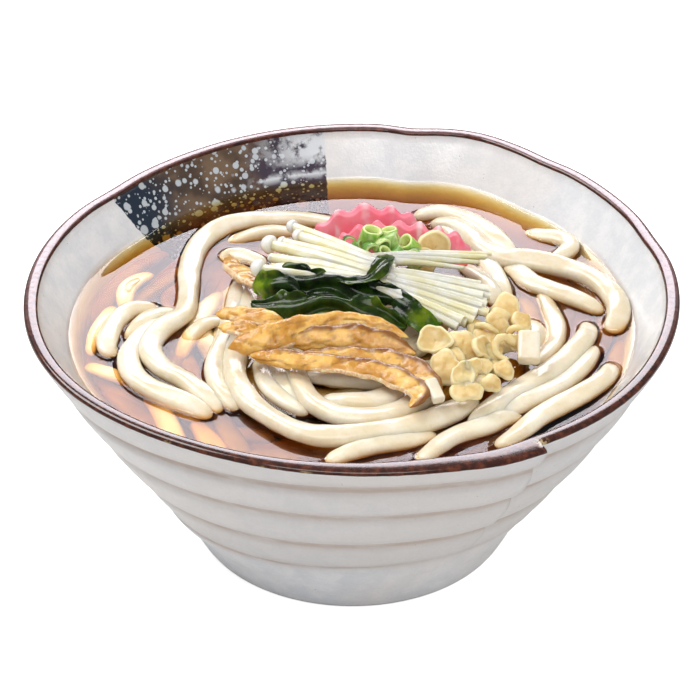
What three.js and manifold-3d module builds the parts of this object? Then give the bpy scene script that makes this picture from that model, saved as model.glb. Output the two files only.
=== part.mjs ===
// An udon noodle bowl: a hand-thrown stoneware bowl filled with broth and thick noodles, topped with
// fried tofu, seaweed, enoki mushrooms, pink fish cake, spring onion and crisp batter drops.
// Units are millimetres, +Z is up, and the origin is the middle of the foot on the table.
import * as THREE from "three";
import { mergeVertices } from "three/addons/utils/BufferGeometryUtils.js";
import Module from "manifold-3d";

const wasm = await Module();
wasm.setup();

// ---------------------------------------------------------------- driving dimensions
const GAP = 0.3; // clearance between neighbouring pieces

const RIM_RADIUS = 99.5;
const RIM_HEIGHT = 86;
const RIM_WIDTH = 4.3;
const FOOT_RADIUS = 50.5;
const FOOT_RING = 7.5; // width of the flat ring that stands on the table
const FOOT_RECESS = 5;
const COLUMNS = 48; // facets round the bowl
const RIM_WAVES = [
  // lobes, height in mm, place of the first crest in degrees
  [1, 1.7, 66],
  [2, 0.7, 92],
  [3, 1.45, -129],
  [7, 0.25, 45],
];
const BAND_EDGES = [28, 44.5, 63, 79]; // heights of the throwing bands' lower edges
const BAND_DROOP = 3.5; // how far the bands sag at the sides
const BAND_RELIEF = 1.3; // depth of the groove under each band
const SEAM_ANGLE = -58; // where the wall laps over itself, right of the front
const SEAM_STEP = 3.6; // how far the lap stands proud at the rim
const SEAM_RUN = 62; // degrees over which the lap dies away
const SEAM_SLIT = 0.6; // degrees between the lap's face and the wall beside it
const CENTRING = [0.08, -1.84]; // brings the uneven rim's middle over the origin

const BROTH_LEVEL = 72;
const BROTH_RADIUS = 86.3;
const INSIDE = [
  // the bowl's inner wall from the broth's edge down to the floor: radius, height
  [BROTH_RADIUS, BROTH_LEVEL],
  [77.5, 58],
  [67, 44],
  [54, 30],
  [39, 19],
  [20, 13],
];

const MOUND_SIDES = 26;
const MOUND_RADIUS = 60;
const MOUND_CROWN = 77.4;
const MOUND_LOBES = [
  // lobes, height in mm, place of the first crest in degrees
  [1, 2.5, -60],
  [2, 3, -40],
  [5, 1.2, 30],
];

const CORE_SIDES = 8; // facets round the core of a heap

// ---------------------------------------------------------------- solids
const { degToRad, lerp, clamp, smoothstep } = THREE.MathUtils;
const vec = (p) => new THREE.Vector3(...p);

// A closed geometry as a solid with its faces pointing out.
function toSolid(geometry) {
  const bare = new THREE.BufferGeometry();
  bare.setAttribute("position", geometry.getAttribute("position"));
  bare.setIndex(geometry.index);
  const merged = mergeVertices(bare, 1e-4);
  const vertProperties = merged.attributes.position.array;
  const triVerts = new Uint32Array(merged.index.array);
  const solid = new wasm.Manifold(new wasm.Mesh({ numProp: 3, vertProperties, triVerts }));
  if (solid.volume() > 0) return solid;
  triVerts.reverse();
  return new wasm.Manifold(new wasm.Mesh({ numProp: 3, vertProperties, triVerts }));
}

function toGeometry(solid) {
  const mesh = solid.getMesh();
  const geometry = new THREE.BufferGeometry();
  geometry.setAttribute("position", new THREE.BufferAttribute(mesh.vertProperties, 3));
  geometry.setIndex(new THREE.BufferAttribute(mesh.triVerts, 1));
  geometry.computeVertexNormals();
  return geometry;
}

function indexed(points, faces) {
  const geometry = new THREE.BufferGeometry().setFromPoints(points);
  geometry.setIndex(faces);
  return geometry;
}

const join = (solids) => solids.reduce((whole, next) => whole.add(next));

// The main body of a solid: loose scraps and sealed pockets are left behind.
function mainBody(solid) {
  const bodies = solid.decompose();
  return bodies.reduce((best, body) => (body.volume() > best.volume() ? body : best));
}

// A closed body through rings of equal length, with a fan over each end ring.
function loft(rings) {
  const sides = rings[0].length;
  const points = rings.flat();
  const faces = [];
  for (let i = 0; i + 1 < rings.length; i++) {
    for (let j = 0; j < sides; j++) {
      const a = i * sides + j;
      const b = i * sides + ((j + 1) % sides);
      faces.push(a, b, b + sides, a, b + sides, a + sides);
    }
  }
  const last = (rings.length - 1) * sides;
  for (const [start, turn] of [[0, 1], [last, 0]]) {
    const ring = points.slice(start, start + sides);
    const middle = ring.reduce((sum, p) => sum.add(p), new THREE.Vector3()).divideScalar(sides);
    points.push(middle);
    for (let j = 0; j < sides; j++) {
      const edge = [start + j, start + ((j + 1) % sides)];
      faces.push(points.length - 1, edge[turn], edge[1 - turn]);
    }
  }
  return toSolid(indexed(points, faces));
}

// A sheet of even thickness over a grid of points, both faces split into triangles alike.
function sheet(grid, thickness) {
  const rows = grid.length;
  const cols = grid[0].length;
  const middle = indexed(grid.flat(), gridFaces(rows, cols));
  middle.computeVertexNormals();
  const normals = middle.getAttribute("normal");
  const shifted = (side) =>
    grid.flat().map((p, i) => {
      const normal = new THREE.Vector3().fromBufferAttribute(normals, i);
      return p.clone().addScaledVector(normal, (side * thickness) / 2);
    });
  const count = rows * cols;
  const top = gridFaces(rows, cols);
  const under = top.map((v) => v + count).reverse();
  const border = [];
  for (let j = 0; j < cols - 1; j++) border.push(j);
  for (let i = 0; i < rows - 1; i++) border.push(i * cols + cols - 1);
  for (let j = cols - 1; j > 0; j--) border.push((rows - 1) * cols + j);
  for (let i = rows - 1; i > 0; i--) border.push(i * cols);
  const walls = border.flatMap((a, k) => {
    const b = border[(k + 1) % border.length];
    return [b, a, a + count, b, a + count, b + count];
  });
  return toSolid(indexed([...shifted(1), ...shifted(-1)], [...top, ...under, ...walls]));
}

function gridFaces(rows, cols) {
  const faces = [];
  for (let i = 0; i + 1 < rows; i++) {
    for (let j = 0; j + 1 < cols; j++) {
      const a = i * cols + j;
      faces.push(a, a + 1, a + cols + 1, a, a + cols + 1, a + cols);
    }
  }
  return faces;
}

// How far a ring moves along its own line when the body grows: only the first and the last one do.
const endShift = (i, last, grow) => (i === 0 ? -grow : i === last ? grow : 0);

// The flattened lump that a heap of small pieces is fused on.
function heapCore({ centre, reach, turn }, grow) {
  const core = new THREE.SphereGeometry(1, CORE_SIDES, CORE_SIDES / 2);
  core.scale(...reach.map((half) => half + grow));
  core.rotateZ(degToRad(turn));
  core.translate(...centre);
  return toSolid(core);
}

// A round rod of even radius along a smooth curve through the points.
function rod(points, radius, sides, step) {
  const curve = new THREE.CatmullRomCurve3(points.map(vec), false, "centripetal");
  const circle = [];
  for (let i = 0; i < sides; i++) {
    const angle = (i / sides) * 2 * Math.PI;
    circle.push(new THREE.Vector2(Math.cos(angle), Math.sin(angle)).multiplyScalar(radius));
  }
  const steps = Math.max(2, Math.round(curve.getLength() / step));
  const section = new THREE.Shape(circle);
  return toSolid(new THREE.ExtrudeGeometry(section, { extrudePath: curve, steps }));
}

// ---------------------------------------------------------------- the bowl
const wave = (waves, angle) =>
  waves.reduce((sum, [lobes, height, crest]) => sum + height * Math.cos(lobes * angle - degToRad(crest)), 0);

// The angle of each column: the last one lies just left of the seam, the first one on its right.
const COLUMN_ANGLES = Array.from({ length: COLUMNS }, (_, i) => {
  const evenly = (i * (360 - SEAM_SLIT)) / (COLUMNS - 1);
  return degToRad(SEAM_ANGLE + evenly);
});

// The wall's outer radius without bands: an almost straight cone that bellies out a little.
function wallRadius(z) {
  const up = (z - BAND_EDGES[0]) / (RIM_HEIGHT - BAND_EDGES[0]);
  return lerp(66, RIM_RADIUS, up) + 1.5 * Math.sin(Math.PI * clamp(up, 0, 1));
}

const uneven = (z, angle) => wave(RIM_WAVES, angle) * (z / RIM_HEIGHT) ** 1.5;

function lap(z, angle) {
  const before = 1 - (degToRad(SEAM_ANGLE + 360) - angle) / degToRad(SEAM_RUN);
  return SEAM_STEP * clamp(before, 0, 1) ** 1.5 * smoothstep(z, BAND_EDGES[0] - 8, RIM_HEIGHT);
}

const droop = (angle) => BAND_DROOP * (Math.cos(2 * (angle + degToRad(80))) - 1);

function ringAt(radiusOf, heightOf) {
  return COLUMN_ANGLES.map((angle) => {
    const z = heightOf(angle);
    const r = radiusOf(z, angle);
    return new THREE.Vector3(r * Math.cos(angle), r * Math.sin(angle), z);
  });
}

const evenRing = (r, z) => ringAt(() => r, () => z);

function outsideRing(height, stand, sag) {
  const radiusOf = (z, angle) => wallRadius(z) + stand + uneven(z, angle) + lap(z, angle);
  return ringAt(radiusOf, (angle) => height + sag * droop(angle));
}

const insideRing = (r, z) => ringAt((height, angle) => r + uneven(height, angle), () => z);

function makeBowl() {
  const rings = [
    evenRing(FOOT_RADIUS - FOOT_RING - 2, FOOT_RECESS),
    evenRing(FOOT_RADIUS - FOOT_RING, 0),
    evenRing(FOOT_RADIUS, 0),
    evenRing(FOOT_RADIUS + 4.8, 11),
    ringAt(() => FOOT_RADIUS + 9, (angle) => 21 + 0.8 * droop(angle)),
  ];
  BAND_EDGES.forEach((edge, i) => {
    const next = BAND_EDGES[i + 1] ?? RIM_HEIGHT + 4;
    rings.push(outsideRing(edge - 0.8, -BAND_RELIEF, 1));
    rings.push(outsideRing(edge + 0.8, 0.5, 1));
    rings.push(outsideRing(lerp(edge, next, 0.5), 0.7, 0.7));
  });
  const lipRing = (inset, drop) =>
    ringAt((z, angle) => RIM_RADIUS - inset + uneven(z, angle) + (inset < 2 ? lap(z, angle) : 0),
      () => RIM_HEIGHT - drop);
  rings.push(lipRing(0, 1.4), lipRing(1.2, 0), lipRing(RIM_WIDTH - 1.5, 0), lipRing(RIM_WIDTH, 1.6));
  rings.push(...INSIDE.map(([r, z]) => insideRing(r, z)));
  return loft(rings);
}

// ---------------------------------------------------------------- broth and noodles
function moundRadius(angle) {
  return MOUND_RADIUS + wave(MOUND_LOBES, angle);
}

// The mass of noodles that stands on the bowl's floor and just breaks the surface of the broth.
function makeMound(grow = 0) {
  const profile = [
    // share of the mound's radius, height
    [0.35, 18 - grow],
    [0.7, 32],
    [0.9, 52],
    [1, 69],
    [0.96, BROTH_LEVEL + 0.9 + grow],
    [0.72, BROTH_LEVEL + 2.6 + grow],
    [0.4, MOUND_CROWN - 1.2 + grow],
    [0.15, MOUND_CROWN + grow],
  ];
  const rings = profile.map(([share, z]) => {
    const ring = [];
    for (let i = 0; i < MOUND_SIDES; i++) {
      const angle = (i / MOUND_SIDES) * 2 * Math.PI;
      const r = moundRadius(angle) * share + grow;
      ring.push(new THREE.Vector3(r * Math.cos(angle), r * Math.sin(angle), z));
    }
    return ring;
  });
  return loft(rings);
}

function makeBroth() {
  const surface = ringAt((z, angle) => uneven(z, angle) + BROTH_RADIUS - 2 * GAP, () => BROTH_LEVEL);
  const deeper = INSIDE.slice(1).map(([r, z]) => insideRing(r - GAP, z + GAP));
  return mainBody(loft([surface, ...deeper]).subtract(makeMound(GAP)));
}

const NOODLE_STEP = 9.5; // length of one facet along a noodle
const NOODLE_SECTION = [
  // across and up, as shares of half the width
  [1, 0],
  [0.6, 0.68],
  [-0.6, 0.68],
  [-1, 0],
  [-0.6, -0.68],
  [0.6, -0.68],
];

// The noodles that show: half the width, then the points that each passes through.
const NOODLES = {
  left_sweep: [3.6, [-4, 59, 72], [-22, 61, 72.6], [-38, 57.5, 73], [-45.5, 51, 73], [-50, 41, 73],
    [-51.5, 28, 73.2], [-51, 14.5, 73.4], [-52, 2, 73.6], [-58, -7, 73.8], [-61, -17, 73.8],
    [-57.5, -27, 73.8], [-49, -35, 73.4], [-43, -42, 72.8], [-38.5, -48.5, 72]],
  left_outer: [3.6, [-56.5, -1, 72.8], [-61.5, -7, 73], [-65.5, -15.5, 73.4], [-67, -24, 73.4],
    [-63.5, -34, 73.4], [-56, -41, 73.2], [-47.5, -46.5, 72.8], [-41, -51, 72]],
  left_short: [3.2, [-53.5, 4, 73], [-59, 3.5, 72.8], [-63.5, -1, 72.8], [-68.5, -10, 72.4]],
  left_hook: [3.4, [-60, 7, 72.4], [-67.5, 5.5, 72.6], [-72, -1, 72.8], [-74, -9, 73], [-74, -16, 73],
    [-71.5, -20, 72.6]],
  inner_back: [3.4, [-40, 48, 71.6], [-29, 52.5, 72], [-17, 54, 72]],
  tofu_side: [3.2, [-41, 35.5, 72], [-39, 39, 72.2], [-33, 36.5, 72.4], [-27.5, 32.5, 73]],
  coil_edge: [3.3, [-34.5, 24, 73], [-35.5, 14.5, 73.4], [-36.5, 2.5, 73.6], [-38, -8.5, 73.6],
    [-40, -18.5, 73.6], [-41, -29, 73.6], [-38.5, -40, 73.4], [-33.5, -48.5, 73]],
  coil_outer: [3.8, [-31.5, 19.5, 73.4], [-31.5, 7.5, 73.8], [-33.5, -6.5, 74], [-35, -20.5, 74.2],
    [-34.5, -33.5, 74.2], [-31, -44.5, 74.2], [-25, -53, 74.2], [-16, -61, 74.2], [-6.5, -64, 74.2],
    [5.5, -62.5, 74.2], [17, -59, 74.2], [26.5, -53.5, 74.2], [36.5, -45, 74.2]],
  crossing: [3.1, [-38.5, -1.5, 73.8], [-43.5, -2.5, 73.4], [-47.5, -5.5, 72.2], [-50.5, -10.5, 69.5],
    [-52, -17.5, 67.5]],
  coil_second: [3, [-28, -23, 73.8], [-25, -37, 73.6], [-19, -46, 73.4], [-13, -51, 73.2]],
  coil_third: [3, [-24, -23.5, 74.4], [-20.5, -36.5, 74.2], [-16, -47, 73.8]],
  coil_inner: [3.7, [-18.5, -25.5, 74.6], [-15, -39.5, 74.6], [-10.5, -48.5, 74.4], [-3, -54, 74.4],
    [6.5, -54.5, 74.4], [14, -51.5, 74.4], [19, -47, 74.4], [24.5, -42.5, 74.4]],
  coil_heart: [3.9, [-9, -45.5, 74.4], [-2, -47, 74.6], [5, -47, 74.6], [11, -44, 74.6], [13.5, -38.5, 74.6]],
  coil_shade: [3.2, [-14, -32, 74.4], [-6.5, -34.5, 74.4], [9.5, -37.5, 74.4]],
  right_long: [3.7, [72.5, -2.5, 72.8], [70.5, -11.5, 73.4], [62.5, -26, 73.8], [54, -35, 74],
    [45.5, -43, 74], [39.5, -50.5, 73.8], [34, -58, 73.4]],
  right_under: [3.4, [73, -14, 72.2], [69, -24.5, 72.6], [62.5, -34.5, 72.8], [55, -41.5, 72.8],
    [47, -48, 72.8], [41.5, -51.5, 72.6]],
  front_right: [3.4, [78, -24.5, 72.4], [74.5, -33, 73], [67.5, -41, 73.2], [60.5, -47, 73.2],
    [53.5, -53.5, 73.2], [47, -61.5, 73], [41, -66.5, 72.6]],
  front_bend: [3.4, [49, -50.5, 72.2], [43.5, -53.5, 72.8], [38, -57.5, 73.2], [31.5, -61, 73.2],
    [27, -64.5, 73.2], [22.5, -69.5, 72.8], [18.5, -73.5, 72.4]],
  front_low: [3.2, [24, -60, 72.4], [17, -63.5, 72.6], [11.5, -65.5, 72.8], [4.5, -67.5, 72.8],
    [-2.5, -71, 72.8], [-7.5, -73.5, 72.4]],
  back_rise: [3.6, [20, 62, 73], [28, 64, 73.2], [36, 60.5, 73.4], [42.5, 53.5, 73.4], [47.5, 44.5, 73.4],
    [51.5, 36.5, 73.2]],
  back_sweep: [3.9, [25.5, 58, 73.2], [32.5, 55, 73.6], [38, 48.5, 74], [42, 40.5, 74.2], [47.5, 34.5, 74.2],
    [56.5, 32.5, 74.2], [65.5, 29, 74], [73, 24.5, 73.8], [79, 17.5, 73.6], [82, 9, 73.2], [81.5, 0.5, 72.8],
    [78.5, -6, 72.2]],
  back_inner: [3.2, [36, 49, 73], [39.5, 40.5, 72.8], [43, 33, 72.6], [45.5, 24.5, 72.4], [47.5, 15.5, 72],
    [47.5, 10, 71.6]],
  back_near: [3.1, [28, 56.5, 73], [32, 50.5, 73], [34.5, 43, 72.8], [36.5, 35.5, 72.6]],
  back_deep: [3.3, [35, 32.5, 72.6], [40, 24.5, 72.6], [43.5, 17, 72.6], [45, 8.5, 72.4]],
  back_corner: [3.2, [56.5, 54, 72], [62, 50.5, 72.2], [66.5, 48.5, 72.6], [69.5, 45.5, 72.8],
    [69.5, 41.5, 72.8], [66, 36.5, 72.8], [61.5, 32, 72.8]],
  right_short: [3.4, [49, 33, 72.6], [52.5, 27.5, 72.8], [56.5, 20.5, 73], [64, 15, 73.2], [71, 10, 73],
    [77.5, 5, 72.2]],
  right_sunk: [3, [59, 16.5, 71.8], [61, 6.5, 71.8], [62.5, -3, 71.8], [61.5, -11.5, 71.8], [58.5, -18, 71.8],
    [54.5, -23.5, 72]],
  right_speck: [3, [50, -1, 72], [55.5, -3, 72], [56.5, -9.5, 72], [54.5, -18, 72]],
};

// A flattened noodle along a smooth curve.
function strand([half, ...points]) {
  const curve = new THREE.CatmullRomCurve3(points.map(vec), false, "centripetal");
  const steps = Math.max(2, Math.round(curve.getLength() / NOODLE_STEP));
  const rings = [];
  for (let i = 0; i <= steps; i++) {
    const centre = curve.getPointAt(i / steps);
    const along = curve.getTangentAt(i / steps);
    const across = new THREE.Vector3(0, 0, 1).cross(along).normalize();
    const up = along.clone().cross(across);
    rings.push(NOODLE_SECTION.map(([u, v]) =>
      centre.clone().addScaledVector(across, u * half).addScaledVector(up, v * half)));
  }
  return loft(rings);
}

function makeNoodles(toppings) {
  const aboveBroth = new THREE.BoxGeometry(2 * RIM_RADIUS, 2 * RIM_RADIUS, 40);
  aboveBroth.translate(0, 0, BROTH_LEVEL + GAP + 20);
  const showing = toppings.reduce((left, next) => left.subtract(next),
    join(Object.values(NOODLES).map(strand)).intersect(toSolid(aboveBroth)));
  return mainBody(makeMound().add(showing));
}

// ---------------------------------------------------------------- fried tofu
const SLAB_SECTION = [
  // across and up, as shares of half the width and half the thickness
  [1, 0],
  [0.86, 0.8],
  [0.3, 1],
  [-0.4, 0.96],
  [-0.9, 0.75],
  [-1, -0.1],
  [-0.8, -0.85],
  [0, -1],
  [0.82, -0.8],
];

// A puffed slab along a curve: each station gives x, y, z, half its width and half its thickness.
function slab(stations, roll, grow) {
  const curve = new THREE.CatmullRomCurve3(stations.map(([x, y, z]) => vec([x, y, z])));
  const steps = (stations.length - 1) * 2;
  const rings = [];
  for (let i = 0; i <= steps; i++) {
    const along = curve.getTangent(i / steps);
    const level = new THREE.Vector3(0, 0, 1).cross(along).normalize();
    const across = level.applyAxisAngle(along, degToRad(roll));
    const up = along.clone().cross(across);
    const [from, to] = [stations[Math.floor(i / 2)], stations[Math.ceil(i / 2)]];
    const width = (from[3] + to[3]) / 2 + grow;
    const depth = (from[4] + to[4]) / 2 + grow;
    const pucker = 1 + 0.08 * Math.sin(i * 2.4);
    const centre = curve.getPoint(i / steps).addScaledVector(along, endShift(i, steps, grow));
    rings.push(SLAB_SECTION.map(([u, v]) =>
      centre.clone().addScaledVector(across, u * width * pucker).addScaledVector(up, v * depth)));
  }
  return loft(rings);
}

// Roll about the slab's own length in degrees, then its stations.
const TOFU = {
  tofu_low: [15, [-30.5, -33.5, 80.8, 1.6, 1.2], [-22.5, -35, 81, 2.4, 1.5], [-12.5, -37, 81, 2.2, 1.5],
    [-2, -39, 81, 2.4, 1.5], [7.5, -41.5, 81, 3, 1.6], [15.5, -46.5, 81, 3, 1.5], [19.5, -52.5, 80.6, 2.6, 1.3],
    [17.5, -58, 80, 1.8, 1]],
  tofu_right: [25, [-12.5, -31.5, 81.6, 1.4, 1.1], [-0.5, -33.5, 82, 2, 1.4], [9.5, -35.5, 82.2, 2.4, 1.6],
    [17.5, -40, 81.8, 3, 1.6], [22.5, -46.5, 81.2, 2.8, 1.5], [25.5, -52.5, 80.6, 1.4, 1]],
  tofu_inner: [35, [-16.5, -28.5, 82.6, 1.8, 1.2], [-8, -26.5, 83.2, 2.8, 1.5], [1.5, -27, 83.4, 2.8, 1.5],
    [11, -29.5, 82.6, 2.2, 1.4], [16.5, -31.5, 81.6, 1.4, 1]],
  tofu_main: [35, [-36, -27, 81.4, 1.2, 1.2], [-30.5, -26.5, 83, 3.6, 2.2], [-24, -25.5, 84.2, 4.8, 2.6],
    [-14.5, -23, 85.6, 4.4, 2], [-3.5, -21, 86.6, 3.4, 1.6], [6.5, -23.5, 85.8, 3.2, 1.5],
    [15.5, -27, 83.6, 2, 1.2]],
  tofu_left_low: [20, [-40.5, -16.5, 80.4, 1.2, 1], [-35, -18, 81, 2.4, 1.3], [-28, -19, 81.2, 2.4, 1.4]],
  tofu_left_high: [20, [-41.5, -10, 81.2, 1.2, 1], [-36, -12, 82, 2.4, 1.4], [-29, -14, 82.4, 3, 1.6],
    [-20, -17, 82.4, 2.4, 1.4]],
  tofu_back: [-10, [-39, 28.5, 77.6, 1.6, 1.2], [-37, 19.5, 79.2, 3.2, 1.7], [-33, 12.5, 80.2, 3.6, 1.8],
    [-27, 5, 80.6, 2.2, 1.4]],
};

// ---------------------------------------------------------------- seaweed
// A leaf along a curve. Each station gives x, y, z, half its width and its roll; the edges ripple.
function leaf(stations, ripple, grow) {
  const curve = new THREE.CatmullRomCurve3(stations.map(([x, y, z]) => vec([x, y, z])));
  const steps = (stations.length - 1) * 3;
  const grid = [];
  for (let i = 0; i <= steps; i++) {
    const place = i / 3;
    const from = stations[Math.floor(place)];
    const to = stations[Math.min(Math.floor(place) + 1, stations.length - 1)];
    const width = lerp(from[3], to[3], place % 1) + grow;
    const roll = lerp(from[4], to[4], place % 1);
    const along = curve.getTangent(i / steps);
    const level = new THREE.Vector3(0, 0, 1).cross(along).normalize();
    const across = level.applyAxisAngle(along, degToRad(roll));
    const up = along.clone().cross(across);
    const centre = curve.getPoint(i / steps).addScaledVector(along, endShift(i, steps, grow));
    grid.push([-1, -0.45, 0, 0.5, 1].map((share, j) => {
      const lift = ripple * (share * share * Math.sin(i * 1.7 + j * 1.3) + 0.4 * Math.cos(i * 0.9 + j * 2));
      return centre.clone().addScaledVector(across, share * width).addScaledVector(up, lift);
    }));
  }
  return sheet(grid, 1.1 + 2 * grow);
}

// How far the edges ripple, then the stations.
const SEAWEED = {
  seaweed_lower: [0.8, [-30, -5.5, 82.6, 1.2, 20], [-24, -10, 83.8, 3.4, 30], [-15.5, -12, 85.4, 3.8, 35],
    [-6.5, -13, 86.4, 3.8, 40], [3, -15.5, 86.4, 4, 45], [11, -19, 85.2, 3.4, 45]],
  seaweed_fold: [0.7, [-20, 3, 85.4, 2, 50], [-15, 0.5, 86.6, 3.6, 40], [-8, -4.5, 87.4, 4, 40],
    [0, -7, 87.6, 4, 40], [8.5, -8, 87.4, 3.6, 40], [17, -6, 86.4, 2.6, 45]],
  seaweed_curl: [0.6, [-28, 5, 83.6, 2, 40], [-25.5, 1, 84.4, 2.8, 35], [-22, -1, 85, 2.4, 30]],
  seaweed_strap: [0.3, [14.5, -12, 86.4, 3.2, 20], [17.5, -17.5, 85.4, 3.6, 25], [20.5, -22, 84, 3.6, 25],
    [23, -24.5, 82.8, 3, 20]],
};

// The narrow band of seaweed laid across the mushrooms.
const SEAWEED_BAND = [0.3, [11, 8.5, 90.4, 2, 0], [9.5, 1.5, 91.8, 2.4, 0], [7.5, -4, 91.6, 2.4, 0],
  [3.5, -6.5, 90.4, 2, 15], [-3, -5, 89.6, 1.2, 20]];

// ---------------------------------------------------------------- enoki mushrooms
const STEM_SIDES = 4;
const STEM_STEP = 20;
const WAIST = [6, 1.5, 88.6]; // middle of the bundle under the seaweed band
const WAIST_PITCH = 2.6; // from stem to stem across the waist
const WAIST_SLOPE = 0.3; // each stem's rise over the one before it
const WAIST_CORE = [6, 12.5, 1.2];

// From front to back: cap x, y, z, cap radius, cut end x, y, z, stem radius.
const MUSHROOMS = [
  [-29, 7.5, 86.4, 2.9, 31.5, -19.5, 82.4, 1.5],
  [-25, 13.5, 86.4, 1.5, 36.5, -16, 82.4, 1.4],
  [-26, 20, 87.4, 3, 41, -12.5, 82.8, 1.5],
  [-22, 20, 87.8, 1.9, 40.5, -7, 83.2, 1.4],
  [-17, 23.5, 88.4, 2.2, 42, -2, 83.8, 1.4],
  [-19, 29, 88.6, 2.1, 42.5, 15, 86, 1.1],
];

function makeMushrooms(grow) {
  const parts = MUSHROOMS.flatMap(([x, y, z, cap, endX, endY, endZ, stem], i) => {
    const aside = i - (MUSHROOMS.length - 1) / 2;
    const waist = [WAIST[0], WAIST[1] + aside * WAIST_PITCH, WAIST[2] + WAIST_SLOPE * aside];
    const head = new THREE.SphereGeometry(cap + grow, 6, 4);
    head.translate(x, y, z);
    const stalk = rod([[x, y, z], waist, [endX, endY, endZ]], stem + grow, STEM_SIDES, STEM_STEP);
    return [toSolid(head), stalk];
  });
  const core = new THREE.BoxGeometry(...WAIST_CORE);
  core.translate(...WAIST);
  return join([toSolid(core), ...parts]);
}

// ---------------------------------------------------------------- fish cake
const CRINKLE = 1.1; // depth of the crinkle cut

// A half-moon slice with a crinkled face and a wavy rim, leaning back. It stands on a line between two
// points; rise is its height, lean how far back its top lies, pitch the width of one crinkle.
function slice({ from, to, rise, lean, pitch, thickness }, grow) {
  const [start, end] = [vec(from), vec(to)];
  const width = start.distanceTo(end);
  const columns = Math.round((width / pitch) * 3);
  const rows = 4;
  const along = end.clone().sub(start).normalize();
  const back = new THREE.Vector3(0, 0, 1).cross(along).normalize();
  const grid = [];
  for (let i = 0; i <= columns; i++) {
    const share = i / columns;
    const bend = CRINKLE * Math.cos((2 * Math.PI * share * width) / pitch);
    const height = rise * (0.3 + 0.7 * Math.sqrt(Math.max(0, 1 - (2 * share - 1) ** 2))) + 0.8 * bend + grow;
    const column = [];
    for (let j = 0; j <= rows; j++) {
      const up = j / rows;
      const point = start.clone().lerp(end, share).addScaledVector(along, endShift(i, columns, grow));
      point.z += up * height - (j === 0 ? grow : 0);
      point.addScaledVector(back, bend + lean * up);
      column.push(point);
    }
    grid.push(column);
  }
  return sheet(grid, thickness + 2 * grow);
}

const FISH_CAKE = {
  fish_cake_back: { from: [-11, 34, 77], to: [21, 37, 77], rise: 12.5, lean: 4, pitch: 7.6, thickness: 3.2 },
  fish_cake_front: { from: [-4, 27.5, 78], to: [36, 22.5, 78], rise: 11, lean: 5, pitch: 6, thickness: 3.2 },
};

// ---------------------------------------------------------------- spring onion
const ONION_SIDES = 6;
const ONION_CORE = { centre: [9.5, 17, 86], reach: [12, 4.4, 3], turn: -22 };

// One cut ring of spring onion: middle x, y, z, outer radius, length, then its tilt and turn in degrees.
const ONION_RINGS = [
  [-0.5, 21, 87.8, 2.2, 4, 70, 10],
  [5.5, 20.5, 90, 3.2, 6, 20, 60],
  [11.5, 21, 89.8, 2.8, 5, 15, 200],
  [12.5, 16, 89.6, 3, 6, 65, 80],
  [17.5, 17.5, 88.6, 3, 5.5, 40, 300],
  [6, 15, 88.6, 2.8, 5, 75, 20],
  [19.5, 11.5, 87.2, 3.2, 3.5, 70, 340],
];

function makeOnion(grow) {
  const rings = ONION_RINGS.map(([x, y, z, radius, length, tilt, turn]) => {
    const outer = radius + grow;
    const inner = radius * 0.6;
    const half = length / 2 + grow;
    const wall = [[inner, -half], [outer, -half], [outer, half], [inner, half], [inner, -half]];
    const ring = new THREE.LatheGeometry(wall.map((p) => new THREE.Vector2(...p)), ONION_SIDES);
    ring.rotateX(degToRad(90 - tilt));
    ring.rotateZ(degToRad(turn));
    ring.translate(x, y, z);
    return toSolid(ring);
  });
  return join([heapCore(ONION_CORE, grow), ...rings]);
}

// ---------------------------------------------------------------- crisp batter drops
const DROP_SIDES = 7;
const DROP_CORE = { centre: [38, -29.5, 79.6], reach: [9.5, 22, 2.4], turn: -27 };

// A flattened drop, thick in the middle: x, y, z, radius, tilt and the way that it leans, in degrees.
function drop([x, y, z, radius, tilt, turn], grow) {
  const edge = radius + grow;
  const half = radius * 0.2 + grow;
  const lens = [[0, -half], [edge * 0.7, -half * 0.8], [edge, 0.3], [edge * 0.65, half], [0, half * 0.7]];
  const shape = new THREE.LatheGeometry(lens.map((p) => new THREE.Vector2(...p)), DROP_SIDES);
  shape.rotateX(degToRad(90 + tilt));
  shape.rotateZ(degToRad(turn));
  shape.translate(x, y, z);
  return toSolid(shape);
}

const LONE_DROPS = {
  batter_drop_large: [25.5, 22, 86.4, 5.3, 62, 25],
  batter_drop_small: [22.5, 15.5, 83.8, 4.2, 35, 10],
};

const DROP_HEAP = [
  [24.5, -27, 82.2, 5.2, 30, -20],
  [32.5, -28.5, 82, 5.4, 28, 10],
  [38.5, -30, 81.6, 4.4, 50, 70],
  [27, -39.5, 81.2, 5, 30, -10],
  [32.5, -46.5, 82.6, 4.8, 22, 15],
  [33, -50, 80.6, 4.6, 18, 0],
  [40, -46, 80.4, 3.2, 35, 30],
  [45, -30.5, 81.6, 4.8, 40, 40],
  [46.5, -9, 81.4, 4.8, 35, -10],
  [44, -18.5, 82.2, 4.4, 38, 15],
  [50, -16.5, 80.6, 3.8, 15, 60],
  [47.5, -25, 80.8, 3.4, 45, 20],
];

function makeDropHeap(grow) {
  return join([heapCore(DROP_CORE, grow), ...DROP_HEAP.map((row) => drop(row, grow))]);
}

// ---------------------------------------------------------------- short cut noodle ends
// A square-cut end: its two end points, half its width and half its thickness.
function cutEnd([from, to, width, depth], grow) {
  const stations = [0, 0.5, 1].map((share) => [...vec(from).lerp(vec(to), share).toArray(), width, depth]);
  return slab(stations, 0, grow);
}

const CUT_ENDS = {
  noodle_end_large: [[52.5, -24, 83], [52, -33.5, 79.4], 3.4, 2.1],
  noodle_end_small: [[22.5, -48, 82.2], [25, -55, 80.2], 1.9, 1.5],
};

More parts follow.
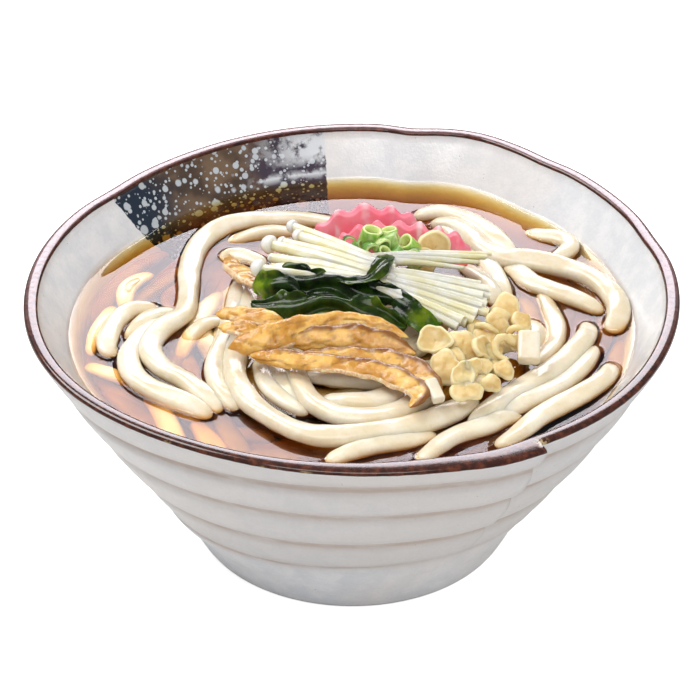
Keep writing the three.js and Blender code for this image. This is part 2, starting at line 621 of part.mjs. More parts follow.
// ---------------------------------------------------------------- the dressed bowl
const FINISH = {
  glaze: { color: 0xd3d6da, roughness: 0.35 },
  broth: { color: 0x9c6420, roughness: 0.08 },
  noodle: { color: 0xf0ead6, roughness: 0.35 },
  tofu: { color: 0xcd9142, roughness: 0.6 },
  seaweed: { color: 0x1d3311, roughness: 0.25 },
  mushroom: { color: 0xf4f0dd, roughness: 0.4 },
  fish_cake: { color: 0xf47f8f, roughness: 0.5 },
  onion: { color: 0x8fbf4a, roughness: 0.4 },
  batter: { color: 0xe6cf86, roughness: 0.55 },
};

const bowl = new THREE.Group();
const toppings = [];

function show(name, solid, finish) {
  const mesh = new THREE.Mesh(toGeometry(solid), new THREE.MeshStandardMaterial(FINISH[finish]));
  mesh.name = name;
  bowl.add(mesh);
}

// Lays a topping on the mound: it is cut clear of the mound and of every topping laid before it.
function lay(name, make, finish) {
  const under = [makeMound(GAP), ...toppings];
  show(name, mainBody(under.reduce((left, next) => left.subtract(next), make(0))), finish);
  toppings.push(make(GAP));
}

show("bowl", makeBowl(), "glaze");
show("broth", makeBroth(), "broth");
for (const [name, [roll, ...stations]] of Object.entries(TOFU)) {
  lay(name, (grow) => slab(stations, roll, grow), "tofu");
}
for (const [name, [ripple, ...stations]] of Object.entries(SEAWEED)) {
  lay(name, (grow) => leaf(stations, ripple, grow), "seaweed");
}
lay("mushrooms", makeMushrooms, "mushroom");
lay("seaweed_band", (grow) => leaf(SEAWEED_BAND.slice(1), SEAWEED_BAND[0], grow), "seaweed");
for (const [name, sizes] of Object.entries(FISH_CAKE)) {
  lay(name, (grow) => slice(sizes, grow), "fish_cake");
}
for (const [name, row] of Object.entries(LONE_DROPS)) {
  lay(name, (grow) => drop(row, grow), "batter");
}
lay("spring_onion", makeOnion, "onion");
lay("batter_drops", makeDropHeap, "batter");
for (const [name, row] of Object.entries(CUT_ENDS)) {
  lay(name, (grow) => cutEnd(row, grow), "noodle");
}
show("noodles", makeNoodles(toppings), "noodle");
bowl.position.set(...CENTRING, 0);

export default bowl;
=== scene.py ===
"""An udon noodle bowl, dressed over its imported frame: glazed stoneware, clear broth, wet noodles and toppings.

Sizes are in millimetres in the bowl's own frame, with the foot's middle at the origin, until a mesh is made.
"""

import math
import random

import bpy
import numpy as np
from mathutils import Matrix, Vector, noise
from mathutils.kdtree import KDTree


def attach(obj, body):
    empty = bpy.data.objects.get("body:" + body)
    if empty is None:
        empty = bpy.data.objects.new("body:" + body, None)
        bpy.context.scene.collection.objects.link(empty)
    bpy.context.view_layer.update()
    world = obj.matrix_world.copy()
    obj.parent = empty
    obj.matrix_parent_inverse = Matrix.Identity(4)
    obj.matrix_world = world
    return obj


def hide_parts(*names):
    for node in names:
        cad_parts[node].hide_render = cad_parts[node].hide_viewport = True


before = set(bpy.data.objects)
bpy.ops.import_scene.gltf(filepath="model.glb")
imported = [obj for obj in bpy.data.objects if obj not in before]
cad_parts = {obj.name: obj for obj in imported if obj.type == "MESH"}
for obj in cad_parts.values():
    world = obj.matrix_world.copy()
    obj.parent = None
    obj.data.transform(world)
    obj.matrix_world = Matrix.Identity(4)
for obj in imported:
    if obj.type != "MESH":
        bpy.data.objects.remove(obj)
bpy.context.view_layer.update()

MM = 0.001
CENTRING = Vector((0.08, -1.84, 0))  # where the foot's middle stands in the frame

# ------------------------------------------------------------------ the bowl's measures
RIM_RADIUS, RIM_HEIGHT, RIM_WIDTH = 99.38, 86, 4.3
LIP_HEIGHT, LIP_RISE, LIP_FULLNESS = 84.4, 1.6, 0.62  # the rolled lip, from where the wall ends
RIM_WAVES = [(1, 1.7, 66), (2, 0.7, 92), (3, 1.45, -129), (7, 0.25, 45)]  # lobes, height, degrees of a crest
# degrees, depth and width of each dent
RIM_DENTS = [(66, 1.6, 7), (78.5, -1.8, 4.5), (50, -1.0, 5), (16, -0.8, 6), (294, 1.0, 6), (144, -0.8, 6)]
BAND_EDGES = [28, 44.5, 63, 79]
BAND_DROOP, BAND_RELIEF, BAND_PROUD = 3.5, 1.3, 0.5
# how much of the droop there is at each height
BAND_SAG = ([11, 21, 28, 36, 44.5, 54, 63, 71, 79, 82, LIP_HEIGHT], [0, 0.8, 1, 0.7, 1, 0.7, 1, 0.7, 1, 0.7, 0])
WALL_START, WALL_SWELL = 66, 1.5  # the wall's radius at the lowest band, and how far it bulges above that
SEAM_ANGLE, SEAM_STEP, SEAM_RUN, SEAM_SLIT = -58, 3.6, 62, 0.35
BROTH_LEVEL, BROTH_RADIUS = 72, 86.3
FOOT_PROFILE = [(0, 5), (38, 5), (40.6, 4.7), (41.6, 3), (42.7, 0.9), (43.8, 0.1), (45, 0), (49.2, 0), (50.2, 0.3),
                (51, 1.6), (52.9, 5.4), (55.3, 11)]
INSIDE = [(95.08, 84.4), (93.2, 81.8), (86.3, 72), (77.5, 58), (67, 44), (54, 30), (39, 19), (20, 13), (0, 12.6)]
FOOT_SIDE = ([11, 16, 21, 25, 27.4], [55.3, 57.6, 59.9, 62.2, 63.6])  # heights and radii above the foot
PATCH_RIGHT, PATCH_LEFT = (94.3, 97), (141.5, 144.5)  # the soft edges of the dark patch, in degrees
# degrees, radius and size of each chip in the rim
CHIPS = [(302, 98.5, 2.2), (238, 98, 1.2), (255.5, 98.5, 1.6), (258, 98, 1.0), (262.5, 98.5, 1.5)]


def smooth(value, low, high):
    share = np.clip((value - low) / (high - low), 0, 1)
    return share * share * (3 - 2 * share)


def unit(v):
    return v / np.maximum(np.linalg.norm(v, axis=-1, keepdims=True), 1e-9)


def through(stations, per):
    """Rows on a smooth curve through the stations, so many to each span, with every column carried along."""
    s = np.array(stations, float)
    ends = np.vstack([2 * s[0] - s[1], s, 2 * s[-1] - s[-2]])
    t = np.linspace(0, 1, per, endpoint=False)[:, None]
    out = []
    for i in range(len(s) - 1):
        a, b, c, d = ends[i:i + 4]
        out.append(0.5 * (2 * b + (c - a) * t + (2 * a - 5 * b + 4 * c - d) * t ** 2
                          + (3 * b - a - 3 * c + d) * t ** 3))
    return np.vstack(out + [s[-1:]])


def distances(path):
    """How far along the path each of its points is."""
    return np.concatenate([[0], np.cumsum(np.linalg.norm(np.diff(path, axis=0), axis=1))])


def along_curve(points, samples):
    """Evenly spaced points on a smooth curve through the given ones."""
    fine = through(points, 24)
    place = distances(fine)
    even = np.linspace(0, place[-1], samples)
    return np.stack([np.interp(even, place, column) for column in fine.T], 1)


# ------------------------------------------------------------------ pieces
def placed(points):
    """Points in millimetres, moved to where they stand in the frame and turned into metres."""
    return (np.asarray(points, float).reshape(-1, 3) + np.array(CENTRING)) * MM


def mesh_object(name, mesh, nodes):
    """The mesh as a piece that stands for the named solids of the frame."""
    obj = bpy.data.objects.new(name, mesh)
    bpy.context.scene.collection.objects.link(obj)
    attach(obj, "root")
    if nodes:
        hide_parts(*nodes)


def piece(name, points, faces, material, nodes=(), layers=None):
    """A smooth piece from points in millimetres, with a value for each point in every layer."""
    mesh = bpy.data.meshes.new(name)
    mesh.from_pydata(placed(points).tolist(), [], faces)
    mesh.polygons.foreach_set("use_smooth", [True] * len(mesh.polygons))
    mesh.materials.append(material)
    for key, values in (layers or {}).items():
        mesh.attributes.new(key, "FLOAT", "POINT").data.foreach_set("value", np.asarray(values, np.float32).ravel())
    mesh_object(name, mesh, nodes)


def grid_faces(rows, cols, closed=False):
    faces = []
    for i in range(rows - 1):
        for j in range(cols if closed else cols - 1):
            k = (j + 1) % cols
            faces.append((i * cols + j, i * cols + k, (i + 1) * cols + k, (i + 1) * cols + j))
    return faces


class Heap:
    """Collects the points, faces and layers of many small pieces for one mesh."""

    def __init__(self, *layers):
        self.points, self.faces, self.layers = [], [], {key: [] for key in layers}

    def add(self, points, faces, **layers):
        start = sum(len(p) for p in self.points)
        self.points.append(points)
        self.faces += [tuple(start + v for v in face) for face in faces]
        for key in self.layers:
            self.layers[key].append(np.broadcast_to(layers.get(key, 0.0), (len(points),)))

    def piece(self, name, material, slot, nodes=()):
        layers = {key: np.concatenate(parts) for key, parts in self.layers.items()}
        piece(name, np.vstack(self.points), self.faces, material, nodes, layers)


def grain(points, size, seed):
    """Smooth noise between -1 and 1 at each point, with features of the given size."""
    offset = Vector((seed * 17.3, seed * 5.1, -seed * 9.7))
    values = [noise.noise(Vector(p) / size + offset) for p in points.reshape(-1, 3)]
    return np.reshape(values, points.shape[:-1])


def oblong(sides, *powers):
    """How far each point of a rounded oblong is across and up, squarer as the two powers fall."""
    around = np.linspace(0, 2 * math.pi, sides, endpoint=False)
    return [np.sign(part) * np.abs(part) ** power for part, power in zip((np.cos(around), np.sin(around)), powers)]


def swept(path, roll, aside, lift):
    """A row of points for each point of the path, so far across it and up from it, rolled about it in degrees."""
    along = unit(np.gradient(path, axis=0))
    level = unit(np.cross([0, 0, 1], along))
    turn = np.radians(np.broadcast_to(roll, (len(path),)))[:, None]
    across = level * np.cos(turn) + np.cross(along, level) * np.sin(turn)
    up = np.cross(along, across)
    return path[:, None] + across[:, None] * aside[..., None] + up[:, None] * lift[..., None]


def closed_loft(rings, middles=None):
    """Points and faces of a body through closed rings, with a fan over each end from its middle."""
    rings = np.asarray(rings)
    rows, cols = rings.shape[:2]
    points = np.vstack([rings.reshape(-1, 3), middles or [rings[0].mean(axis=0), rings[-1].mean(axis=0)]])
    faces = [face[::-1] for face in grid_faces(rows, cols, closed=True)]
    first, last = rows * cols, (rows - 1) * cols
    for j in range(cols):
        k = (j + 1) % cols
        faces.append((first, j, k))
        faces.append((first + 1, last + k, last + j))
    return points, faces


def capped(field):
    """A layer's values for a closed loft, with nothing at the middles of its ends."""
    return np.concatenate([np.ravel(field), [0, 0]])


def closed_sheet(grid, thickness):
    """Points and faces of a sheet over a grid, with a thickness for each of its points."""
    rows, cols = grid.shape[:2]
    normal = unit(np.cross(np.gradient(grid, axis=0), np.gradient(grid, axis=1)))
    half = np.broadcast_to(thickness, (rows, cols))[..., None] / 2
    count = rows * cols
    sheet = grid_faces(rows, cols)
    faces = [face[::-1] for face in sheet] + [tuple(v + count for v in face) for face in sheet]
    border = ([j for j in range(cols - 1)] + [i * cols + cols - 1 for i in range(rows - 1)]
              + [(rows - 1) * cols + j for j in range(cols - 1, 0, -1)] + [i * cols for i in range(rows - 1, 0, -1)])
    for a, b in zip(border, border[1:] + border[:1]):
        faces.append((a, b, b + count, a + count))
    return np.vstack([(grid + normal * half).reshape(-1, 3), (grid - normal * half).reshape(-1, 3)]), faces


# ------------------------------------------------------------------ finishes
def tone(r, g, b):
    """A colour from its 0 to 255 values."""
    return tuple(c / 255 / 12.92 if c <= 10 else ((c / 255 + 0.055) / 1.055) ** 2.4 for c in (r, g, b)) + (1,)


class Nodes:
    """Adds nodes to a tree, with their inputs set or linked."""

    def __init__(self, tree, output=""):
        self.tree, self.output = tree, tree.nodes.get(output)

    def add(self, kind, inputs=None, **settings):
        node = self.tree.nodes.new(kind)
        for key, value in settings.items():
            setattr(node, key, value)
        for key, value in (inputs or {}).items():
            self.put(node.inputs[key], value)
        return node

    def put(self, socket, value):
        if isinstance(value, bpy.types.NodeSocket):
            self.tree.links.new(value, socket)
        else:
            socket.default_value = value

    def by_ray(self, kind, shader, others):
        """Gives rays of one kind the first node's shader, and all the others the second's."""
        ray = self.add("ShaderNodeLightPath").outputs[f"Is {kind} Ray"]
        mixed = self.add("ShaderNodeMixShader", {0: ray, 1: others.outputs[0], 2: shader.outputs[0]})
        self.put(self.output.inputs["Surface"], mixed.outputs[0])


class Finish(Nodes):
    """A procedural material, put together from short calls. Sizes are in millimetres."""

    def __init__(self, name):
        self.material = bpy.data.materials.new(name)
        self.material.use_nodes = True
        super().__init__(self.material.node_tree, "Material Output")
        self.shader = self.tree.nodes["Principled BSDF"]
        self.where = self.add("ShaderNodeTexCoord").outputs["Object"]

    def layer(self, name):
        return self.add("ShaderNodeAttribute", attribute_name=name).outputs["Fac"]

    def stretched(self, scale, turn=(0, 0, 0)):
        return self.add("ShaderNodeMapping", {"Vector": self.where, "Scale": scale, "Rotation": turn}).outputs[0]

    def noise(self, size, detail=3, rough=0.5, where=None):
        return self.add("ShaderNodeTexNoise", {"Vector": where or self.where, "Scale": 1000 / size,
                                               "Detail": detail, "Roughness": rough}).outputs["Fac"]

    def cells(self, size):
        return self.add("ShaderNodeTexVoronoi", {"Vector": self.where, "Scale": 1000 / size}).outputs

    def math(self, operation, a, b):
        return self.add("ShaderNodeMath", {0: a, 1: b}, operation=operation).outputs[0]

    def plus(self, a, b):
        return self.math("ADD", a, b)

    def times(self, a, b):
        return self.math("MULTIPLY", a, b)

    def ragged(self, value, size, detail, amount):
        """The value with noise added, which breaks up its edge."""
        return self.plus(value, self.times(self.math("SUBTRACT", self.noise(size, detail), 0.5), amount))

    def span(self, value, low, high, to_low=0.0, to_high=1.0, soft=True):
        return self.add("ShaderNodeMapRange", {"Value": value, "From Min": low, "From Max": high,
                                               "To Min": to_low, "To Max": to_high},
                        interpolation_type="SMOOTHSTEP" if soft else "LINEAR").outputs["Result"]

    def risen(self, low, high, least=0.0, most=1.0):
        """From least to most as the height goes from low to high."""
        height = self.add("ShaderNodeSeparateXYZ", {"Vector": self.where}).outputs["Z"]
        return self.span(height, low * MM, high * MM, least, most)

    def blend(self, share, *colours):
        """From the first colour to the second, each a socket or its 0 to 255 values."""
        node = self.add("ShaderNodeMix", {0: share}, data_type="RGBA")
        for socket, colour in zip([s for s in node.inputs if s.type == "RGBA"], colours):
            self.put(socket, tone(*colour) if isinstance(colour, tuple) else colour)
        return [s for s in node.outputs if s.type == "RGBA"][0]

    def two_tones(self, first, second, size, low=0.35, high=0.65, **kind):
        return self.blend(self.span(self.noise(size, **kind), low, high), first, second)

    def relief(self, height, depth, strength, under=None):
        inputs = {"Height": height, "Distance": depth * MM, "Strength": strength}
        if under:
            inputs["Normal"] = under
        return self.add("ShaderNodeBump", inputs).outputs["Normal"]

    def done(self, **inputs):
        for key, value in inputs.items():
            self.put(self.shader.inputs[key.replace("_", " ")], value)
        return self.material


def glaze_finish():
    """Grey-white stoneware glaze with an iron rim, stained grooves with painted shade in them, painted sheen on the
    lip's top and one dark speckled patch inside.
    """
    f = Finish("stoneware glaze")
    base = f.two_tones((228, 231, 235), (240, 241, 243), 7, detail=4, rough=0.6)
    base = f.blend(f.span(f.noise(60, 2, 0.4), 0.45, 0.7, 0, 0.45), base, (236, 228, 218))
    # painted shade: the outer wall above the foot is painted greyer, so the foot looks lit from the floor
    outside_shade = f.times(f.span(f.layer("inner"), 0, 1, 0.6, 0), f.risen(16, 28))
    base = f.blend(outside_shade, base, (204, 200, 196))
    base = f.blend(f.span(f.noise(0.9, 2, 0.6), 0.25, 0.8, 0.1, 0), base, (170, 172, 176))
    pore = f.times(f.span(f.cells(2.6)["Distance"], 0.10, 0.05), f.span(f.noise(3.4, 1), 0.6, 0.68))
    base = f.blend(f.times(pore, 0.55), base, (112, 100, 92))
    streak = f.noise(5, 4, 0.7, f.stretched((0.35, 0.35, 2.2)))
    # brown in the grooves: thin stain lines, and a broad strip that is painted shade under each band's edge
    tint = f.times(f.layer("tint"), f.span(streak, 0.25, 0.62, 0.35, 1.0))
    base = f.blend(f.times(tint, 0.62), base, (168, 140, 116))

    # the dark patch: blue-black at its left, brown-grey in the middle, misted with white at its right, which is also
    # a painted highlight
    dark = f.two_tones((78, 64, 54), (122, 100, 80), 13, 0.38, 0.62)
    round_about = f.plus(f.layer("round"), f.times(f.noise(9, 3), 14))
    dark = f.blend(f.span(round_about, 132, 146), dark, (38, 50, 66))
    dark = f.blend(f.span(round_about, 122, 112), dark, (70, 62, 76))
    spots = 0.0
    for size, most, share in ((5.5, 0.36, 0.9), (3.2, 0.38, 0.8), (1.6, 0.36, 0.8)):
        cell = f.cells(size)
        hue = f.add("ShaderNodeSeparateColor", {"Color": cell["Color"]}).outputs[0]
        reach = f.times(f.math("POWER", hue, share), most)
        wobble = f.plus(cell["Distance"], f.times(f.noise(1.3, 2), 0.08))
        spots = f.math("MAXIMUM", spots, f.span(f.math("SUBTRACT", wobble, reach), 0.08, 0.0))
    dark = f.blend(spots, dark, (194, 202, 208))
    thick = f.plus(f.noise(4, 5, 0.62), f.times(f.layer("mist_and_highlight"), 0.16))
    dark = f.blend(f.times(f.layer("mist_and_highlight"), f.span(thick, 0.46, 0.68)), dark, (222, 226, 230))
    base = f.blend(f.span(f.ragged(f.layer("patch"), 3, 3, 0.5), 0.45, 0.55), base, dark)

    iron = f.span(f.ragged(f.layer("iron"), 2.6, 2, 0.22), 0.47, 0.53)
    rust = f.two_tones((58, 31, 25), (104, 56, 38), 2.6, 0.42, 0.7, detail=4, rough=0.7)
    rust = f.blend(f.span(f.noise(9, 2), 0.55, 0.75), rust, (38, 24, 24))
    rust = f.blend(f.times(f.layer("chip"), f.span(f.noise(0.9, 3), 0.42, 0.5)), rust, (222, 200, 150))
    # painted reflection: the lip's top, away from the front, is painted pale pinkish as a sheen
    rim_sheen = f.times(f.layer("tint"), f.span(f.noise(2.2, 3), 0.3, 0.6, 0.45, 0.95))
    rust = f.blend(rim_sheen, rust, (138, 110, 112))
    base = f.blend(iron, base, rust)

    rough = f.span(f.noise(1.4, 3), 0.3, 0.7, 0.30, 0.44)
    for where, polish in ((f.layer("inner"), 0.15), (iron, 0.1)):
        rough = f.span(where, 0, 1, rough, polish, soft=False)
    rugged = f.span(f.layer("iron"), 0.3, 0.6, 0.35, 0.04)
    scratch = f.noise(1.1, 3, 0.6, f.stretched((1, 1, 0.18), (0.5, 0.3, 0.6)))
    bump = None
    for height, depth in ((f.noise(0.7, 2), 0.10), (f.noise(6, 3), 0.35), (scratch, 0.12), (pore, -0.2)):
        bump = f.relief(height, depth, rugged, bump)
    return f.done(Base_Color=base, Roughness=rough, Normal=bump, IOR=1.5)


def broth_finish():
    """Clear amber broth: light passes through it and is browned by its depth."""
    f = Finish("amber broth")
    f.by_ray("Shadow", f.add("ShaderNodeBsdfTransparent"), f.shader)
    depth = f.add("ShaderNodeVolumeAbsorption", {"Color": (0.85, 0.67, 0.05, 1), "Density": 325.0})
    f.put(f.output.inputs["Volume"], depth.outputs[0])
    return f.done(Base_Color=(1, 1, 1, 1), Roughness=0.0, IOR=1.333, Transmission_Weight=1.0)


def noodle_finish():
    f = Finish("wet noodle")
    base = f.two_tones((227, 213, 183), (238, 229, 209), 9)
    base = f.blend(f.span(f.noise(1.2, 3), 0.5, 0.8, 0, 0.25), base, (208, 188, 146))
    # browner near and under the broth line: partly broth soaking in, partly painted shade on the lower sides
    base = f.blend(f.risen(BROTH_LEVEL - 1, BROTH_LEVEL + 2.2, 0.8, 0), base, (212, 164, 88))
    bump = f.relief(f.noise(3.2, 2), 0.4, 0.5)
    bump = f.relief(f.noise(1.1, 2), 0.16, 0.45, bump)
    return f.done(Base_Color=base, Roughness=0.22, IOR=1.38, Normal=bump, Subsurface_Weight=0.35,
                  Subsurface_Radius=(1.0, 0.7, 0.4), Subsurface_Scale=0.003, Coat_Weight=0.3, Coat_Roughness=0.04)


def soaked_and_shaded_finish():
    """The noodles underneath, browned by the broth and painted darker still as painted shade, deep in the tangle."""
    f = Finish("soaked and shaded noodle")
    base = f.two_tones((156, 122, 76), (180, 150, 106), 9)
    base = f.blend(f.risen(BROTH_LEVEL - 2, BROTH_LEVEL + 1), base, (222, 206, 172))
    return f.done(Base_Color=base, Roughness=0.4, IOR=1.38, Normal=f.relief(f.noise(3.2, 2), 0.4, 0.5))


# ------------------------------------------------------------------ the bowl
def wave(angle):
    degrees = np.degrees(angle)
    waves = sum(height * np.cos(lobes * angle - math.radians(crest)) for lobes, height, crest in RIM_WAVES)
    return waves + sum(depth * np.exp(-(((degrees - at + 180) % 360 - 180) / width) ** 2)
                       for at, depth, width in RIM_DENTS)


def uneven(z, angle):
    return wave(angle) * (np.maximum(z, 0) / RIM_HEIGHT) ** 1.5


def lap(z, past_seam):
    """How far the overlapping end of the wall stands proud, over the last stretch before the seam."""
    before = np.clip(1 - (2 * math.pi - past_seam) / math.radians(SEAM_RUN), 0, 1)
    return SEAM_STEP * before ** 1.5 * smooth(z, BAND_EDGES[0] - 8, RIM_HEIGHT)


def wall_radius(z):
    up = (z - BAND_EDGES[0]) / (RIM_HEIGHT - BAND_EDGES[0])
    return WALL_START + (RIM_RADIUS - WALL_START) * up + WALL_SWELL * np.sin(math.pi * np.clip(up, 0, 1))


def band_stand(h):
    """How far the wall stands proud: a step up at each band's edge, a slight crown, a hollow before the next."""
    edges = BAND_EDGES + [RIM_HEIGHT + 6]
    i = max(k for k, edge in enumerate(edges) if h >= edge - 1)
    full = edges[i] + 0.2
    if h < full:
        return (BAND_PROUD + BAND_RELIEF) * smooth(h, edges[i] - 1, full) - BAND_RELIEF
    up = (h - full) / (edges[i + 1] - 1 - full)
    crown = 0.3 * math.sin(math.pi * min(1, up * 1.3))
    return BAND_PROUD + crown - (BAND_PROUD + BAND_RELIEF) * smooth(up, 0.55, 1.0) ** 1.5


def groove_stain_and_shade(h):
    """Two thin stain lines in the hollow below each band's edge, and a broad brown strip there that is painted groove
    shade.
    """
    strip = min(abs(h - edge + 1.9) for edge in BAND_EDGES)
    line = min(abs(h - edge + below) for edge in BAND_EDGES for below in (0.7, 3.1))
    return min(1, 0.75 * math.exp(-(strip / 2.8) ** 2) + 0.5 * math.exp(-(line / 0.5) ** 2))


def make_bowl(material):
    columns = 420
    past_seam = np.linspace(0, 2 * math.pi - math.radians(SEAM_SLIT), columns)
    angle = past_seam + math.radians(SEAM_ANGLE)
    droop = BAND_DROOP * (np.cos(2 * (angle + math.radians(80))) - 1)
    rows = [(r, z, 0, 0.25 if z < 1 else 0, 0) for r, z in FOOT_PROFILE[1:]]  # radius, height, iron, tint (stain, painted groove shade and painted lip sheen), inner

    for h in np.arange(12, LIP_HEIGHT, 0.6):
        z = h + np.interp(h, *BAND_SAG) * droop
        if h < BAND_EDGES[0] - 1:
            share = smooth(h, 23, 27)
            foot = np.interp(h, *FOOT_SIDE) * (1 - share) + (wall_radius(z) - BAND_RELIEF) * share
            r = foot + uneven(z, angle) * smooth(h, 11, 24)
        else:
            r = wall_radius(z) + band_stand(h) + uneven(z, angle) + lap(z, past_seam)
        rows.append((r, z, 0.25 * smooth(z, 83, LIP_HEIGHT), groove_stain_and_shade(h), 0))

    for turn in np.linspace(0, math.pi, 25):  # over the lip, from outside to inside
        aside, up = math.cos(turn), math.sin(turn)
        inset = RIM_WIDTH / 2 * (1 - np.sign(aside) * abs(aside) ** LIP_FULLNESS)
        z = RIM_HEIGHT - LIP_RISE + LIP_RISE * up ** LIP_FULLNESS
        r = RIM_RADIUS - inset + uneven(z, angle) + lap(z, past_seam) * (1 - smooth(inset, 1.0, 3.6))
        iron = np.interp(z, [LIP_HEIGHT, 84.9, 85.4], [0.25, 0.5, 1])
        # painted reflection: where the lip's top gets its painted pale sheen
        painted_rim_sheen = smooth(np.sin(angle), -0.55, 0.25) * smooth(up, 0.65, 0.95)
        rows.append((r, z, iron, painted_rim_sheen, 1 if turn > math.pi / 2 else 0))

    at_sides = 1 - smooth(np.sin(angle), 0.35, 0.6)  # where broth has browned the wall
    for r, z in along_curve(INSIDE, 60)[1:-1]:
        browned = at_sides * (1 - smooth(z, BROTH_LEVEL, BROTH_LEVEL + 1.2))
        rows.append((r + uneven(z, angle), z, 0.25 * smooth(z, 83, LIP_HEIGHT), browned, 1))

    radius, z, iron, tint, inner = (np.concatenate([np.broadcast_to(row[k], (columns,)) for row in rows])
                                     for k in range(5))
    around = np.tile(angle, len(rows))
    points = np.stack([radius * np.cos(around), radius * np.sin(around), z], 1)
    degrees = np.degrees(around) % 360
    lean = (z - 70) * 0.2
    patch = inner * smooth(degrees, *PATCH_RIGHT) * (1 - smooth(degrees - lean, *PATCH_LEFT)) * smooth(z, 38, 48)
    # white mist and painted highlight: the patch's upper right, and a thin line just above the broth
    mist_and_highlight = np.maximum(smooth(degrees, 115, 98) * smooth(z, 75.5, 78.5),
                      smooth(degrees, 116, 108) * np.exp(-((z - 74) / 0.9) ** 2))
    chip = np.zeros(len(points))
    for at, reach, size in CHIPS:
        spot = [reach * math.cos(math.radians(at)), reach * math.sin(math.radians(at)), 85]
        chip = np.maximum(chip, 1 - np.clip(np.linalg.norm(points - spot, axis=1) / size, 0, 1) ** 2)
    layers = {"iron": iron, "tint": tint, "inner": inner, "patch": patch, "mist_and_highlight": mist_and_highlight, "round": degrees,
              "chip": chip}
    middles = [(0, 0, FOOT_PROFILE[0][1]), (0, 0, INSIDE[-1][1])]
    points, faces = closed_loft(points.reshape(len(rows), columns, 3), middles)
    piece("glazed_bowl", points, [face[::-1] for face in faces], material, ["bowl"],
          {key: capped(values) for key, values in layers.items()})


